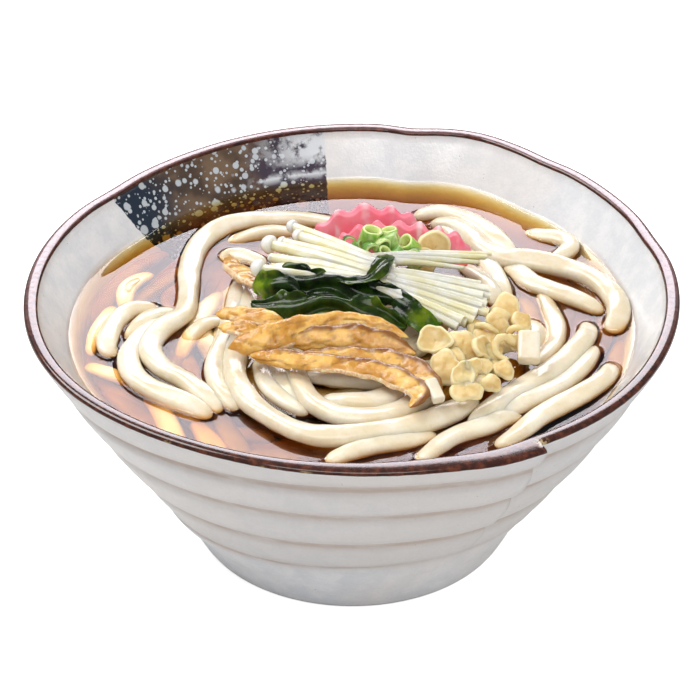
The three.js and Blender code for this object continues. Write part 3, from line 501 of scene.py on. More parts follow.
# ------------------------------------------------------------------ noodles
# half the width, then the points that each strand passes through
STRANDS = {
    "left_sweep": (3.6, (-4, 59, 72), (-22, 61, 72.6), (-38, 57.5, 73), (-45.5, 51, 73), (-50, 41, 73),
                   (-51.5, 28, 73.2), (-51, 14.5, 73.4), (-52, 2, 73.6), (-58, -7, 73.8), (-61, -17, 73.8),
                   (-57.5, -27, 73.8), (-49, -35, 73.4), (-43, -42, 72.8), (-38.5, -48.5, 72)),
    "left_outer": (3.6, (-56.5, -1, 72.8), (-61.5, -7, 73), (-65.5, -15.5, 73.4), (-67, -24, 73.4),
                   (-63.5, -34, 73.4), (-56, -41, 73.2), (-47.5, -46.5, 72.8), (-41, -51, 72)),
    "left_short": (3.2, (-53.5, 4, 73), (-59, 3.5, 72.8), (-63.5, -1, 72.8), (-68.5, -10, 72.4)),
    "left_hook": (3.4, (-60, 7, 72.4), (-67.5, 5.5, 72.6), (-72, -1, 72.8), (-74, -9, 73), (-74, -16, 73),
                  (-71.5, -20, 72.6)),
    "inner_back": (3.4, (-40, 48, 71.6), (-29, 52.5, 72), (-17, 54, 72)),
    "tofu_side": (3.2, (-41, 35.5, 72), (-39, 39, 72.2), (-33, 36.5, 72.4), (-27.5, 32.5, 73)),
    "coil_edge": (3.3, (-34.5, 24, 73), (-35.5, 14.5, 73.4), (-36.5, 2.5, 73.6), (-38, -8.5, 73.6),
                  (-40, -18.5, 73.6), (-41, -29, 73.6), (-38.5, -40, 73.4), (-33.5, -48.5, 73)),
    "coil_outer": (3.8, (-31.5, 19.5, 73.4), (-31.5, 7.5, 73.8), (-33.5, -6.5, 74), (-35, -20.5, 74.2),
                   (-34.5, -33.5, 74.2), (-31, -44.5, 74.2), (-25, -53, 74.2), (-16, -61, 74.2), (-6.5, -64, 74.2),
                   (5.5, -62.5, 74.2), (17, -59, 74.2), (26.5, -53.5, 74.2), (36.5, -45, 74.2)),
    "crossing": (3.1, (-38.5, -1.5, 73.8), (-43.5, -2.5, 73.4), (-47.5, -5.5, 72.2), (-50.5, -10.5, 69.5),
                 (-52, -17.5, 67.5)),
    "coil_second": (3, (-28, -23, 73.8), (-25, -37, 73.6), (-19, -46, 73.4), (-13, -51, 73.2)),
    "coil_third": (3, (-24, -23.5, 74.4), (-20.5, -36.5, 74.2), (-16, -47, 73.8)),
    "coil_inner": (3.7, (-18.5, -25.5, 74.6), (-15, -39.5, 74.6), (-10.5, -48.5, 74.4), (-3, -54, 74.4),
                   (6.5, -54.5, 74.4), (14, -51.5, 74.4), (19, -47, 74.4), (24.5, -42.5, 74.4)),
    "coil_heart": (3.9, (-9, -45.5, 74.4), (-2, -47, 74.6), (5, -47, 74.6), (11, -44, 74.6), (13.5, -38.5, 74.6)),
    "coil_shade": (3.2, (-14, -32, 74.4), (-6.5, -34.5, 74.4), (9.5, -37.5, 74.4)),
    "right_long": (3.7, (72.5, -2.5, 72.8), (70.5, -11.5, 73.4), (62.5, -26, 73.8), (54, -35, 74), (45.5, -43, 74),
                   (39.5, -50.5, 73.8), (34, -58, 73.4)),
    "right_under": (3.4, (73, -14, 72.2), (69, -24.5, 72.6), (62.5, -34.5, 72.8), (55, -41.5, 72.8), (47, -48, 72.8),
                    (41.5, -51.5, 72.6)),
    "front_right": (3.4, (78, -24.5, 72.4), (74.5, -33, 73), (67.5, -41, 73.2), (60.5, -47, 73.2),
                    (53.5, -53.5, 73.2), (47, -61.5, 73), (41, -66.5, 72.6)),
    "front_bend": (3.4, (49, -50.5, 72.2), (43.5, -53.5, 72.8), (38, -57.5, 73.2), (31.5, -61, 73.2),
                   (27, -64.5, 73.2), (22.5, -69.5, 72.8), (18.5, -73.5, 72.4)),
    "front_low": (3.2, (24, -60, 72.4), (17, -63.5, 72.6), (11.5, -65.5, 72.8), (4.5, -67.5, 72.8), (-2.5, -71, 72.8),
                  (-7.5, -73.5, 72.4)),
    "back_rise": (3.6, (20, 62, 73), (28, 64, 73.2), (36, 60.5, 73.4), (42.5, 53.5, 73.4), (47.5, 44.5, 73.4),
                  (51.5, 36.5, 73.2)),
    "back_sweep": (3.9, (25.5, 58, 73.2), (32.5, 55, 73.6), (38, 48.5, 74), (42, 40.5, 74.2), (47.5, 34.5, 74.2),
                   (56.5, 32.5, 74.2), (65.5, 29, 74), (73, 24.5, 73.8), (79, 17.5, 73.6), (82, 9, 73.2),
                   (81.5, 0.5, 72.8), (78.5, -6, 72.2)),
    "back_inner": (3.2, (36, 49, 73), (39.5, 40.5, 72.8), (43, 33, 72.6), (45.5, 24.5, 72.4), (47.5, 15.5, 72),
                   (47.5, 10, 71.6)),
    "back_near": (3.1, (28, 56.5, 73), (32, 50.5, 73), (34.5, 43, 72.8), (36.5, 35.5, 72.6)),
    "back_deep": (3.3, (35, 32.5, 72.6), (40, 24.5, 72.6), (43.5, 17, 72.6), (45, 8.5, 72.4)),
    "back_corner": (3.2, (56.5, 54, 72), (62, 50.5, 72.2), (66.5, 48.5, 72.6), (69.5, 45.5, 72.8), (69.5, 41.5, 72.8),
                    (66, 36.5, 72.8), (61.5, 32, 72.8)),
    "right_short": (3.4, (49, 33, 72.6), (52.5, 27.5, 72.8), (56.5, 20.5, 73), (64, 15, 73.2), (71, 10, 73),
                    (77.5, 5, 72.2)),
    "right_sunk": (3, (59, 16.5, 71.8), (61, 6.5, 71.8), (62.5, -3, 71.8), (61.5, -11.5, 71.8), (58.5, -18, 71.8),
                   (54.5, -23.5, 72)),
    "right_speck": (3, (50, -1, 72), (55.5, -3, 72), (56.5, -9.5, 72), (54.5, -18, 72)),
}
# noodles that lie in the broth or only just touch its surface
SUNK = {
    "left_edge": (2.8, (-74.5, 10.5, 69.6), (-76, 3, 70.4), (-78, -5.5, 70.4), (-79, -17, 69.7)),
    "left_crescent": (3.2, (-63.5, 30, 69.5), (-67.5, 26, 70.3), (-70.5, 20.5, 70.5), (-71, 14, 70.1),
                      (-70, 9, 69.1)),
    "left_touch": (3, (-80, -22, 69.2), (-75.5, -25.5, 69.9), (-70.5, -28.5, 69.9), (-65, -31.5, 68.5)),
    "left_puff": (2.6, (-46, 11.5, 69.9), (-43.5, 10, 70.6), (-40.5, 10.5, 70)),
    "low_a": (3.5, (-60.5, -36, 66.7), (-56.5, -43.5, 68.2), (-53.5, -53, 68.7), (-50, -63, 68.5), (-46, -70, 67.7)),
    "low_b": (3.3, (-53, -43.5, 67.3), (-48, -47, 68.6), (-44.5, -50.5, 68.6)),
    "low_c": (3.5, (-46, -49, 66.7), (-42.5, -57, 66.7), (-38, -66, 66.7), (-34, -72, 66.2)),
    "low_d": (3.5, (-40.5, -42, 65.7), (-36.5, -53.5, 66), (-32, -64.5, 66), (-28.5, -71.5, 65.2)),
    "low_e": (3.5, (-74, -30.5, 63.7), (-67.5, -39, 64.2), (-60, -48.5, 64.2), (-53, -58, 63.7)),
    "left_f": (3.5, (-80, 5, 63.7), (-76.5, 20.5, 64.2), (-69.5, 36.5, 64.2), (-60, 48, 63.7)),
    "left_g": (3.5, (-72.5, 8.5, 64), (-66.5, 18.5, 65.2), (-57, 30.5, 65.2), (-52, 37, 64.7)),
    "left_h": (3.4, (-48, -3.5, 67.4), (-50.5, -9.5, 66.4), (-54, -17.5, 65.4), (-55, -28.5, 64.4)),
    "left_i": (3.4, (-54, -3, 65.4), (-53, -11, 65.4), (-49.5, -19, 64.8), (-45.5, -27.5, 64.4)),
    "left_j": (3.5, (-79, -8, 63.5), (-76, -22, 64), (-70, -33, 64), (-60, -43, 63.5)),
    "right_a": (3.5, (70, 33, 65), (77, 17, 65.5), (78, 2, 65.5), (75, -12, 65)),
    "right_b": (3.4, (83, -6, 66), (80, -18, 66.5), (77, -28, 66.5)),
    "right_c": (3.4, (52, 20, 66.5), (56, 8, 67), (57, -6, 67)),
    "front_a": (3.5, (-30, -70, 66), (-18, -73, 66.5), (-4, -76, 66.5), (12, -75, 66)),
    "front_b": (3.5, (-44, -62, 65), (-34, -68, 65.5), (-24, -66, 65.5), (-12, -70, 65)),
}
TOUCHING = 7  # how many of them, from the first, are as pale as those above
END_ROUNDING = 3.6
FLATNESS = 0.68  # a noodle's thickness over its width


def strand_samples(points, step):
    """Points along a strand, closer together near its ends, how far each is from its start, and its length."""
    length = distances(along_curve(points, 60))[-1]
    even = np.linspace(0, length, max(8, round(length / step)))
    extra = np.array([0.08, 0.35, 0.8, 1.5, 2.4])
    stations = np.unique(np.concatenate([even, extra, length - extra]))
    fine = along_curve(points, 400)
    place = np.linspace(0, length, len(fine))
    return np.stack([np.interp(stations, place, column) for column in fine.T], 1), stations, length


def lay_out(strands, seed, step=1.3):
    """Each strand's centre line, half its width and its thickness all along, and its twist in degrees."""
    rng = random.Random(seed)
    laid = []
    for half, *points in strands:
        centre, place, length = strand_samples(points, step)
        end = np.minimum(place, length - place)
        phase = rng.uniform(0, 6)
        blunt = np.sqrt(1 - (1 - np.clip(end / END_ROUNDING, 0, 1)) ** 2)
        taper = np.maximum(blunt, 0.05) * (0.78 + 0.22 * smooth(end, 0, 12))
        swell = 1 + 0.05 * np.sin(place / 9 + phase) + 0.03 * np.sin(place / 4 + 2 * phase)
        twist = 15 * np.sin(place / 13 + phase) + 7 * np.sin(place / 5.5 + 3 * phase)
        sink = 0.3 + 0.5 * (1 - smooth(end, 0, 8))
        laid.append((centre - sink[:, None] * [0, 0, 1], 0.97 * half * taper * swell,
                     0.97 * half * FLATNESS * taper / swell, twist))
    return laid


def noodle_heap(name, laid, sides, material, nodes=()):
    """Soft, square-cut noodles that swell, twist a little and narrow towards their rounded ends."""
    u, v = oblong(sides, 0.7, 0.8)
    heap = Heap()
    for i, (centre, wide, thick, twist) in enumerate(laid):
        rings = swept(centre, twist, u * wide[:, None], v * thick[:, None])
        lumps = 0.16 * grain(rings, 4.5, i) * np.minimum(thick, 1)[:, None]
        heap.add(*closed_loft(rings + unit(rings - centre[:, None]) * lumps[..., None]))
    heap.piece(name, material, "noodle", nodes)


def sunk_strands():
    """The tangle under the surface and under the toppings: seeded arcs that fill the bowl's middle."""
    rng = random.Random(11)
    strands = []
    for _ in range(84):
        reach = rng.uniform(12, 78)
        start = rng.uniform(0, 360)
        span = rng.uniform(50, 120) * rng.choice((-1, 1)) * min(1, 40 / reach + 0.3)
        level = rng.uniform(58, 64.5) if reach > 48 else rng.uniform(66, 74.5 if reach < 30 else 69.5)
        points = []
        for k in range(6):
            a = math.radians(start + span * k / 5)
            r = reach * rng.uniform(0.88, 1.08)
            r = min(r, 0.9 * np.interp(level, [44, 58, 72], [67, 77.5, 86.3]))
            points.append((r * math.cos(a), r * math.sin(a), level + rng.uniform(-1.5, 1.5)))
        strands.append((rng.uniform(3.2, 3.7), *points))
    return strands


def mound_strands():
    """The crown of the mound under the toppings: seeded arcs that lie on its rounded top."""
    rng = random.Random(12)
    strands = []
    for _ in range(30):
        reach = rng.uniform(3, 31)
        start, span = rng.uniform(0, 360), rng.uniform(60, 130) * min(1.2, 14 / reach + 0.5)
        points = []
        for k in range(6):
            a = math.radians(start + span * k / 5)
            r = reach * rng.uniform(0.9, 1.1)
            top = np.interp(r, [9, 24, 43], [77.2, 76, 74.4])
            points.append((3 + r * math.cos(a), -3 + r * math.sin(a), top - 2.3 - rng.uniform(0, 1)))
        strands.append((rng.uniform(3.2, 3.7), *points))
    return strands


# ------------------------------------------------------------------ broth
def make_broth(material, laid):
    """The broth up to its surface, drawn up a little where it meets the wall and the noodles."""
    columns, rows = 620, 142
    angle = np.linspace(0, 2 * math.pi, columns, endpoint=False)
    wall = BROTH_RADIUS + uneven(BROTH_LEVEL, angle)
    shores = []  # x, y, half the width of the noodle at the surface, how far it draws the broth up
    for centre, wide, thick, _ in laid:
        for (x, y, z), half, tall in zip(centre, wide, thick):
            off = abs(z - BROTH_LEVEL) / tall
            if off < 1:
                shores.append((x, y, half * math.sqrt(1 - off ** 2), min(0.85, 0.35 * (z + tall - BROTH_LEVEL))))
    tree = KDTree(len(shores))
    for i, (x, y, _, _) in enumerate(shores):
        tree.insert((x, y, 0), i)
    tree.balance()
    rings = []
    for share in ((np.arange(rows) + 0.5) / rows) ** 0.72:
        radius = share * (wall + 1.4)
        ring = []
        for x, y, r, w in zip(radius * np.cos(angle), radius * np.sin(angle), radius, wall):
            rise = 0.7 * math.exp(-max(0, w + 0.6 - r) / 0.8)
            for _, k, distance in tree.find_n((x, y, 0), 5):
                _, _, half, climb = shores[k]
                rise = max(rise, climb * math.exp(-max(0, distance - half) / 0.6))
            ring.append((x, y, BROTH_LEVEL + rise))
        rings.append(ring)
    for r, z in along_curve(INSIDE, 16):
        if z < 69:
            side = max(r, 0.5) + 0.9 + uneven(z, angle)
            rings.append(np.stack([side * np.cos(angle), side * np.sin(angle), np.full(columns, z - 0.5)], 1))
    points, faces = closed_loft(rings, [(0, 0, BROTH_LEVEL), (0, 0, 12.1)])
    piece("clear_broth", points, faces, material, ["broth"])


# ------------------------------------------------------------------ fried tofu
# roll in degrees, then x, y, z, half the width and half the thickness at each station
TOFU = {
    "tofu_low": (22, (-30.5, -32.5, 80.8, 1.8, 1.3), (-22.5, -34, 81, 3.0, 1.6), (-12.5, -36, 81, 3.0, 1.6),
                 (-2, -38, 81, 3.0, 1.5), (7.5, -41, 81, 3.4, 1.5), (15.5, -46.5, 81, 3.4, 1.4),
                 (20, -52.5, 80.6, 2.8, 1.3), (16.5, -58.5, 80, 1.9, 1)),
    "tofu_right": (30, (-16, -32, 81, 2.2, 1.2), (-0.5, -34, 81.4, 3.0, 1.5), (9.5, -36, 81.8, 3.2, 1.6),
                   (17.5, -40, 81.6, 3.4, 1.6), (22.5, -46.5, 81.2, 3.0, 1.5), (25.5, -53, 80.6, 1.4, 1)),
    "tofu_inner": (40, (-22, -28, 82, 2.2, 1.3), (-9, -26.5, 83, 3.8, 1.9), (1.5, -27, 83.2, 4.2, 2),
                   (11, -29, 82.4, 3.4, 1.7), (19, -32.5, 81, 1.6, 1)),
    "tofu_main": (35, (-37, -28.5, 80.6, 1.2, 1.2), (-30.5, -28, 82, 3.7, 2.3), (-24, -27, 83, 5.0, 2.6),
                  (-14.5, -23.5, 84.6, 3.8, 1.9), (-3.5, -20.5, 86, 2.2, 1.2), (6.5, -22, 85.4, 2.0, 1.1),
                  (17, -27, 83.2, 1.6, 1)),
    "tofu_left_low": (20, (-40.5, -16.5, 80.4, 1.2, 1), (-35, -18, 81, 2.4, 1.3), (-28, -19, 81.2, 2.4, 1.4)),
    "tofu_left_high": (20, (-41.5, -10, 81.2, 1.2, 1), (-36, -12, 82, 2.4, 1.4), (-29, -14, 82.4, 3, 1.6),
                       (-20, -17, 82.4, 2.4, 1.4)),
    "tofu_back": (-10, (-39, 28.5, 77.6, 1.6, 1.2), (-37, 19.5, 79.2, 3.2, 1.7), (-33, 12.5, 80.2, 3.6, 1.8),
                  (-27, 5, 80.6, 2.2, 1.4)),
}
TUCKED = ("tofu_low", "tofu_right", "tofu_inner")  # painted shade: darker along the edge that lies under the next strip


def tofu_finish():
    f = Finish("fried tofu skin")
    base = f.two_tones((202, 144, 60), (238, 190, 102), 7, 0.38, 0.62, rough=0.55)
    base = f.blend(f.span(f.noise(2.2, 3, 0.6), 0.52, 0.78, 0, 0.6), base, (244, 208, 140))
    # painted shade: dark brown in the creases and along the edges tucked under the next strip
    base = f.blend(f.times(f.layer("crease_and_shade"), 0.85), base, (112, 62, 26))
    crumb = f.two_tones((222, 182, 132), (250, 232, 200), 0.8, 0.4, rough=0.7)
    base = f.blend(f.span(f.ragged(f.layer("cut"), 1.4, 3, 0.5), 0.4, 0.6), base, crumb)
    bump = f.relief(f.noise(2.6, 3, 0.5), 0.6, 0.6)
    bump = f.relief(f.noise(0.8, 3), 0.2, 0.6, bump)
    return f.done(Base_Color=base, Roughness=0.28, IOR=1.4, Normal=bump, Subsurface_Weight=0.35,
                  Subsurface_Radius=(1.0, 0.45, 0.15), Subsurface_Scale=0.003, Coat_Weight=0.2, Coat_Roughness=0.06)


def tofu_strip(name, roll, stations, seed, material):
    """A puffed strip with a bubbly skin, creased along its length; one long edge shows the pale cut crumb."""
    rows = through(stations, 12)
    path, width, depth = rows[:, :3], rows[:, 3:4], rows[:, 4:]
    u, v = oblong(36, 0.8, 0.75)
    place = np.linspace(0, 1, len(path))[:, None]
    ends = np.clip(np.minimum(place, 1 - place) * len(stations) * 1.6, 0, 1) ** 0.5
    pucker = 1 + 0.07 * np.sin(place * len(stations) * 4.8 + seed)
    rings = swept(path, roll, u * (width * pucker) * ends, v * depth * ends)
    bumps = 0.42 * grain(rings, 3.4, seed) + 0.16 * grain(rings, 1.3, seed + 1)
    fold = grain(rings * [0.25, 1, 1], 2.6, seed + 2)
    crease_and_shade = 0.6 * np.clip(1 - np.abs(fold) / 0.1, 0, 1) * smooth(np.abs(v), 0.2, 0.6)
    edge = smooth(-u, 0.55, 0.9) * smooth(v, -0.5, -0.1) * (1 - smooth(v, 0.55, 0.9))
    cut = edge * smooth(place, 0.2, 0.4) * smooth(ends, 0.2, 0.9)
    shift = bumps - 0.8 * crease_and_shade + 0.35 * cut
    points, faces = closed_loft(rings + unit(rings - path[:, None]) * shift[..., None])
    # painted shade along the edge tucked under the next strip
    if name in TUCKED:
        crease_and_shade = np.maximum(crease_and_shade, smooth(u + 0.25 * grain(rings, 3, seed), 0.25, 0.7))
    layers = {"cut": capped(cut), "crease_and_shade": capped(crease_and_shade)}
    piece(name + "_strip", points, faces, material, [name], layers)


# ------------------------------------------------------------------ seaweed
# how deeply it is pleated and how far its upper edge rolls over (both as slopes in radians), how much light is
# painted as coming through it, then x, y, z, half the width and the roll at each station
SEAWEED = {
    "seaweed_lower": (1.1, 1.0, 0.1, (-30.5, -6.5, 82.4, 2.4, 25), (-24, -10.5, 83.4, 4.8, 34),
                      (-15.5, -12.5, 84.8, 5.8, 40), (-6.5, -14, 85.4, 5.8, 44), (3, -16.5, 85.2, 5.6, 46),
                      (11, -19.5, 84.4, 4.8, 46), (16, -21.5, 83.6, 3.2, 45)),
    "seaweed_fold": (1.0, 1.8, 0.0, (-24, 3, 85, 3, 55), (-18, 1.5, 86.4, 5.2, 50), (-9, -3.5, 87.4, 5.6, 44),
                     (0, -6.5, 87.6, 5.6, 42), (8.5, -8.5, 87.2, 4.8, 44), (17, -9, 86, 3.2, 45)),
    "seaweed_curl": (0.7, 1.4, 0.85, (-30, 4.5, 83.2, 3.4, 66), (-27, 1, 84.6, 5.2, 62), (-22.5, -2, 85.4, 4.8, 56),
                     (-16, -5, 85.6, 3.4, 45)),
    "seaweed_strap": (0.35, 0.3, 0.5, (13, -9, 87, 2.6, 35), (16, -14, 86.2, 3.6, 32), (20, -18.5, 84.8, 3.8, 28),
                      (24.5, -22.5, 83.2, 3.4, 24)),
    "seaweed_band": (0.5, 0.9, 0.1, (11, 9, 90.2, 2.4, 0), (9.5, 2.5, 92, 2.8, -12), (7.5, -3.5, 91.8, 2.8, 8),
                     (3.5, -6.5, 90.4, 2.4, 25), (-4, -5.5, 89.4, 1.8, 30)),
}
PLEATS = 1.7


def seaweed_finish():
    f = Finish("wet seaweed")
    deep = f.two_tones((10, 22, 8), (30, 52, 12), 4, detail=4, rough=0.6)
    # painted light: thin lobes and rims are painted yellow-green, as if lit through from behind
    base = f.blend(f.layer("thin"), deep, f.two_tones((60, 96, 8), (128, 150, 20), 3))
    bump = f.relief(f.noise(2.0, 3, 0.55), 0.3, 0.5)
    return f.done(Base_Color=base, Roughness=0.16, Normal=bump, IOR=1.33,
                  Subsurface_Weight=0.15, Subsurface_Radius=(0.4, 1.0, 0.1), Subsurface_Scale=0.0015)


def seaweed_leaf(name, pleat, roll_over, light, stations, seed, material):
    """A thin leaf, pleated along its length, with its upper edge rolled over and its rim rippled."""
    rows = through(stations, 16)
    path, width, roll = rows[:, :3], rows[:, 3:4], rows[:, 4]
    place = distances(path)[:, None]
    share = np.linspace(-1, 1, 44)[None, :]
    drift = 2.2 * np.sin(place / 7 + seed) + 0.9 * np.sin(place / 2.8 + 2 * seed) + seed
    slope = (pleat * np.cos(PLEATS * math.pi * share + drift) * (0.7 + 0.3 * np.sin(place / 4 + 2 * seed))
             - roll_over * smooth(share, 0.5, 1.0) * (0.6 + 0.4 * np.sin(place / 4 + seed)))
    step = 2 / (share.size - 1)
    aside, lift = (np.cumsum(part, axis=1) * step for part in (np.cos(slope), np.sin(slope)))
    aside, lift = (part - part.mean(axis=1, keepdims=True) for part in (aside, lift))
    rim = np.abs(share) ** 4
    ripple = pleat * rim * (0.7 * np.sin(place / 1.3 + 1.3 * share + seed)
                            + 0.3 * np.sin(place / 0.7 - share + 2 * seed))
    end = np.minimum(place, place[-1] - place)
    rounded = 1 if name == "seaweed_strap" else 0.15 + 0.85 * np.sqrt(1 - (1 - np.clip(end / 3, 0, 1)) ** 2)
    ragged = 1 + pleat * rim * (0.1 * np.sin(place / 0.9 + 2 * share + seed) + 0.12 * np.sin(place / 2.1 + 3 * seed))
    reach = width * rounded * ragged
    grid = swept(path, roll, aside * reach, lift * reach + ripple)
    points, faces = closed_sheet(grid, 0.3 + 0.3 * (1 - share ** 4))
    # painted light: how lit through each part is painted, more at the rippled rim
    thin = light + 0.35 * rim * smooth(grain(grid, 6, seed), 0, 0.3)
    if name == "seaweed_strap":
        thin = thin * smooth(place, 6, 12)
    if name == "seaweed_curl":
        thin = thin * (1 - smooth(place, 5, 10))
    layers = {"thin": np.clip(np.tile(thin.ravel(), 2), 0, 1)}
    piece(name + "_leaf", points, faces, material, [name], layers)


# ------------------------------------------------------------------ enoki mushrooms
WAIST = (6, 1.5, 88.6)
CAP_PROFILE = [(0.02, 0.78), (0.3, 0.75), (0.58, 0.62), (0.82, 0.38), (0.97, 0.05), (1.0, -0.22), (0.93, -0.45),
               (0.75, -0.58), (0.5, -0.6), (0.3, -0.62)]
# cap x, y, z, cap radius, stem radius, from front to back
CAPS = [(-29, 7.5, 86.4, 2.9, 1.3), (-24.5, 8.5, 86.2, 0, 1.5), (-25, 13.5, 86.4, 1.5, 1.4),
        (-26, 20, 87.4, 3.0, 1.6), (-16, 11, 86.8, 0, 1.3), (-22, 20.5, 87.8, 1.9, 1.4),
        (-17, 23.5, 88.4, 2.2, 1.5), (-19, 29, 88.6, 2.1, 1.3)]
# cut ends of the thin stems on the right
CUTS = [(31.5, -19.5, 82.4), (33, -17.5, 83.4), (36.5, -16, 82.4), (37.5, -14, 83.6), (39, -11, 84),
        (41, -12.5, 82.8), (40.5, -9.5, 83.8), (40.5, -7, 83.2), (39.5, -6, 84.6), (42, -4.5, 83.8),
        (41.5, -3, 85), (39, -1, 85.6), (43, 16, 86.4), (41.5, 13.6, 86.8), (38.5, 11.4, 86.2), (34, 9, 85.6)]


def mushroom_finish():
    f = Finish("enoki")
    base = f.two_tones((230, 219, 170), (242, 237, 212), 6)
    base = f.blend(f.layer("cap"), base, (244, 242, 232))
    bump = f.relief(f.noise(1.0, 2, 0.5, f.stretched((0.2, 1, 1))), 0.12, 0.4)
    return f.done(Base_Color=base, Roughness=0.26, Normal=bump, Subsurface_Weight=0.55,
                  Subsurface_Radius=(1.0, 0.85, 0.5), Subsurface_Scale=0.005, Coat_Weight=0.3, Coat_Roughness=0.08)


def dome(centre, axis, radius):
    """A mushroom cap: a dome whose hollow side faces the stem."""
    axis = unit(axis)
    side = unit(np.cross(axis, [0.2, 0.3, 1]))
    turn = np.linspace(0, 2 * math.pi, 28, endpoint=False)[:, None]
    outward = np.cos(turn) * side + np.sin(turn) * np.cross(axis, side)
    return closed_loft([centre + radius * (r * outward + h * axis) for r, h in CAP_PROFILE])


def tube_tree(name, material, sizes, segments):
    """Sweeps a rounded oblong along each path, scaled by the path's radius, and closes its ends."""
    tree = bpy.data.node_groups.new(name, "GeometryNodeTree")
    tree.interface.new_socket("Paths", in_out="INPUT", socket_type="NodeSocketGeometry")
    tree.interface.new_socket("Mesh", in_out="OUTPUT", socket_type="NodeSocketGeometry")
    settings = {}  # each size by its socket's identifier
    for label, value in sizes.items():
        socket = tree.interface.new_socket(label, in_out="INPUT", socket_type="NodeSocketFloat")
        socket.default_value = value
        settings[socket.identifier] = value
    made = Nodes(tree)
    source = made.add("NodeGroupInput").outputs
    outline = made.add("GeometryNodeCurvePrimitiveQuadrilateral", {key: source[key] for key in ("Width", "Height")})
    rounded = made.add("GeometryNodeFilletCurve", {"Curve": outline.outputs[0], "Radius": source["Corner"],
                                                   "Count": segments}, mode="POLY")
    sweep = made.add("GeometryNodeCurveToMesh", {"Curve": source["Paths"], "Profile Curve": rounded.outputs[0],
                                                 "Scale": made.add("GeometryNodeInputRadius").outputs[0],
                                                 "Fill Caps": True})
    shade = made.add("GeometryNodeSetShadeSmooth", {"Geometry": sweep.outputs[0]})
    real = made.add("GeometryNodeRealizeInstances", {"Geometry": shade.outputs[0]})
    coat = made.add("GeometryNodeSetMaterial", {"Geometry": real.outputs[0], "Material": material})
    made.add("NodeGroupOutput", {"Mesh": coat.outputs[0]})
    return tree, settings


def sweep_paths(name, paths, tree, settings):
    """Runs the tree on paths of points and radii in millimetres and returns its plain mesh."""
    curve = bpy.data.curves.new(name + "_paths", "CURVE")
    curve.dimensions = "3D"
    for points, radii in paths:
        spline = curve.splines.new("POLY")
        spline.points.add(len(points) - 1)
        spline.points.foreach_set("co", np.hstack([placed(points), np.ones((len(points), 1))]).ravel())
        spline.points.foreach_set("radius", radii)
    holder = bpy.data.objects.new(name + "_paths", curve)
    bpy.context.scene.collection.objects.link(holder)
    modifier = holder.modifiers.new("sweep", "NODES")
    modifier.node_group = tree
    for identifier, value in settings.items():
        modifier[identifier] = value
    mesh = bpy.data.meshes.new_from_object(holder.evaluated_get(bpy.context.evaluated_depsgraph_get()))
    holder.modifiers.clear()
    bpy.data.objects.remove(holder)
    mesh.name = name
    return mesh


def make_mushrooms(material):
    rng = random.Random(21)
    paths = []
    caps = Heap("cap")
    for i, (x, y, z, cap, stem) in enumerate(CAPS):
        aside = (i / (len(CAPS) - 1) - 0.5) * 13
        waist = (WAIST[0], WAIST[1] + aside, WAIST[2] + 0.11 * aside + rng.uniform(-0.2, 0.2))
        middle = (0.5 * (x + waist[0]), 0.5 * (y + waist[1]) + rng.uniform(-0.4, 0.4), 0.5 * (z + waist[2]) + 0.5)
        beyond = (waist[0] + 7, waist[1] - 2.5, waist[2] - 0.8)
        points = through([(x, y, z), middle, waist, beyond], 10)
        share = np.linspace(0, 1, len(points))
        radius = stem * (1.05 + 0.2 * np.sin(math.pi * share)) * np.where(cap > 0, 1, np.clip(0.6 + share * 8, 0, 1))
        paths.append((points, radius))
        if cap:
            caps.add(*dome((x, y, z), np.subtract((x, y, z), middle), cap), cap=1.0)
    between = [tuple(0.5 * np.add(a, b) - [rng.uniform(0.4, 2.2), 0, 1.0]) for a, b in zip(CUTS, CUTS[1:])
               if abs(a[1] - b[1]) < 5]
    for i, (x, y, z) in enumerate(CUTS + between):
        lower = i >= len(CUTS)
        aside = np.interp(y, [-19.5, 3.5, 15], [-6.2, 3, 6.2])
        waist = (WAIST[0] - 2, WAIST[1] + aside + 0.6, WAIST[2] + 0.11 * aside - 0.8 * lower)
        bow = 1.2 + 0.8 * (y > 8)
        middle = (0.45 * x + 0.55 * waist[0], 0.45 * y + 0.55 * waist[1], 0.45 * z + 0.55 * waist[2] + bow * 0.5)
        points = through([waist, middle, (x, y, z)], 12)
        thinning = np.linspace(1, 0.42, len(points)) if y > 8 else np.ones(len(points))
        paths.append((points, rng.uniform(1.3, 1.6) * thinning))
    sizes = {"Width": 2 * MM, "Height": 2 * MM, "Corner": 0.97 * MM}
    stems = sweep_paths("mushroom_stems", paths, *tube_tree("stem sweep", material, sizes, 4))
    mesh_object("mushroom_stems", stems, ["mushrooms"])
    caps.piece("mushroom_caps", material, "mushroom", ["mushrooms"])


# ------------------------------------------------------------------ fish cake
CRINKLE, SCALLOP = 0.5, 0.85  # how far its faces and its upper edge wave
FISH_CAKE = {
    "fish_cake_back": ((-11, 34, 77), (21, 37, 77), 12.5, 4, 7.6, 3.2),
    "fish_cake_front": ((-4, 27.5, 78), (36, 22.5, 78), 11, 5, 6, 3.2),
}


def fish_cake_finish():
    f = Finish("fish cake")
    pink = f.two_tones((255, 122, 142), (255, 150, 166), 6)
    # the furrows whitened: pale paste showing there, with a painted highlight too
    base = f.blend(f.times(f.layer("pale_furrow_and_highlight"), f.span(f.noise(7, 2), 0.42, 0.6)), pink, (255, 204, 210))
    specks = f.times(f.span(f.cells(1.6)["Distance"], 0.16, 0.1), f.span(f.noise(2.5, 1), 0.6, 0.66))
    base = f.blend(f.times(specks, 0.35), base, (206, 80, 106))
    base = f.blend(f.layer("broth_stain"), base, (244, 126, 84))
    bump = f.relief(f.noise(0.9, 3), 0.1, 0.5)
    return f.done(Base_Color=base, Roughness=0.38, Normal=bump, Subsurface_Weight=0.5,
                  Subsurface_Radius=(1.0, 0.5, 0.5), Subsurface_Scale=0.004)


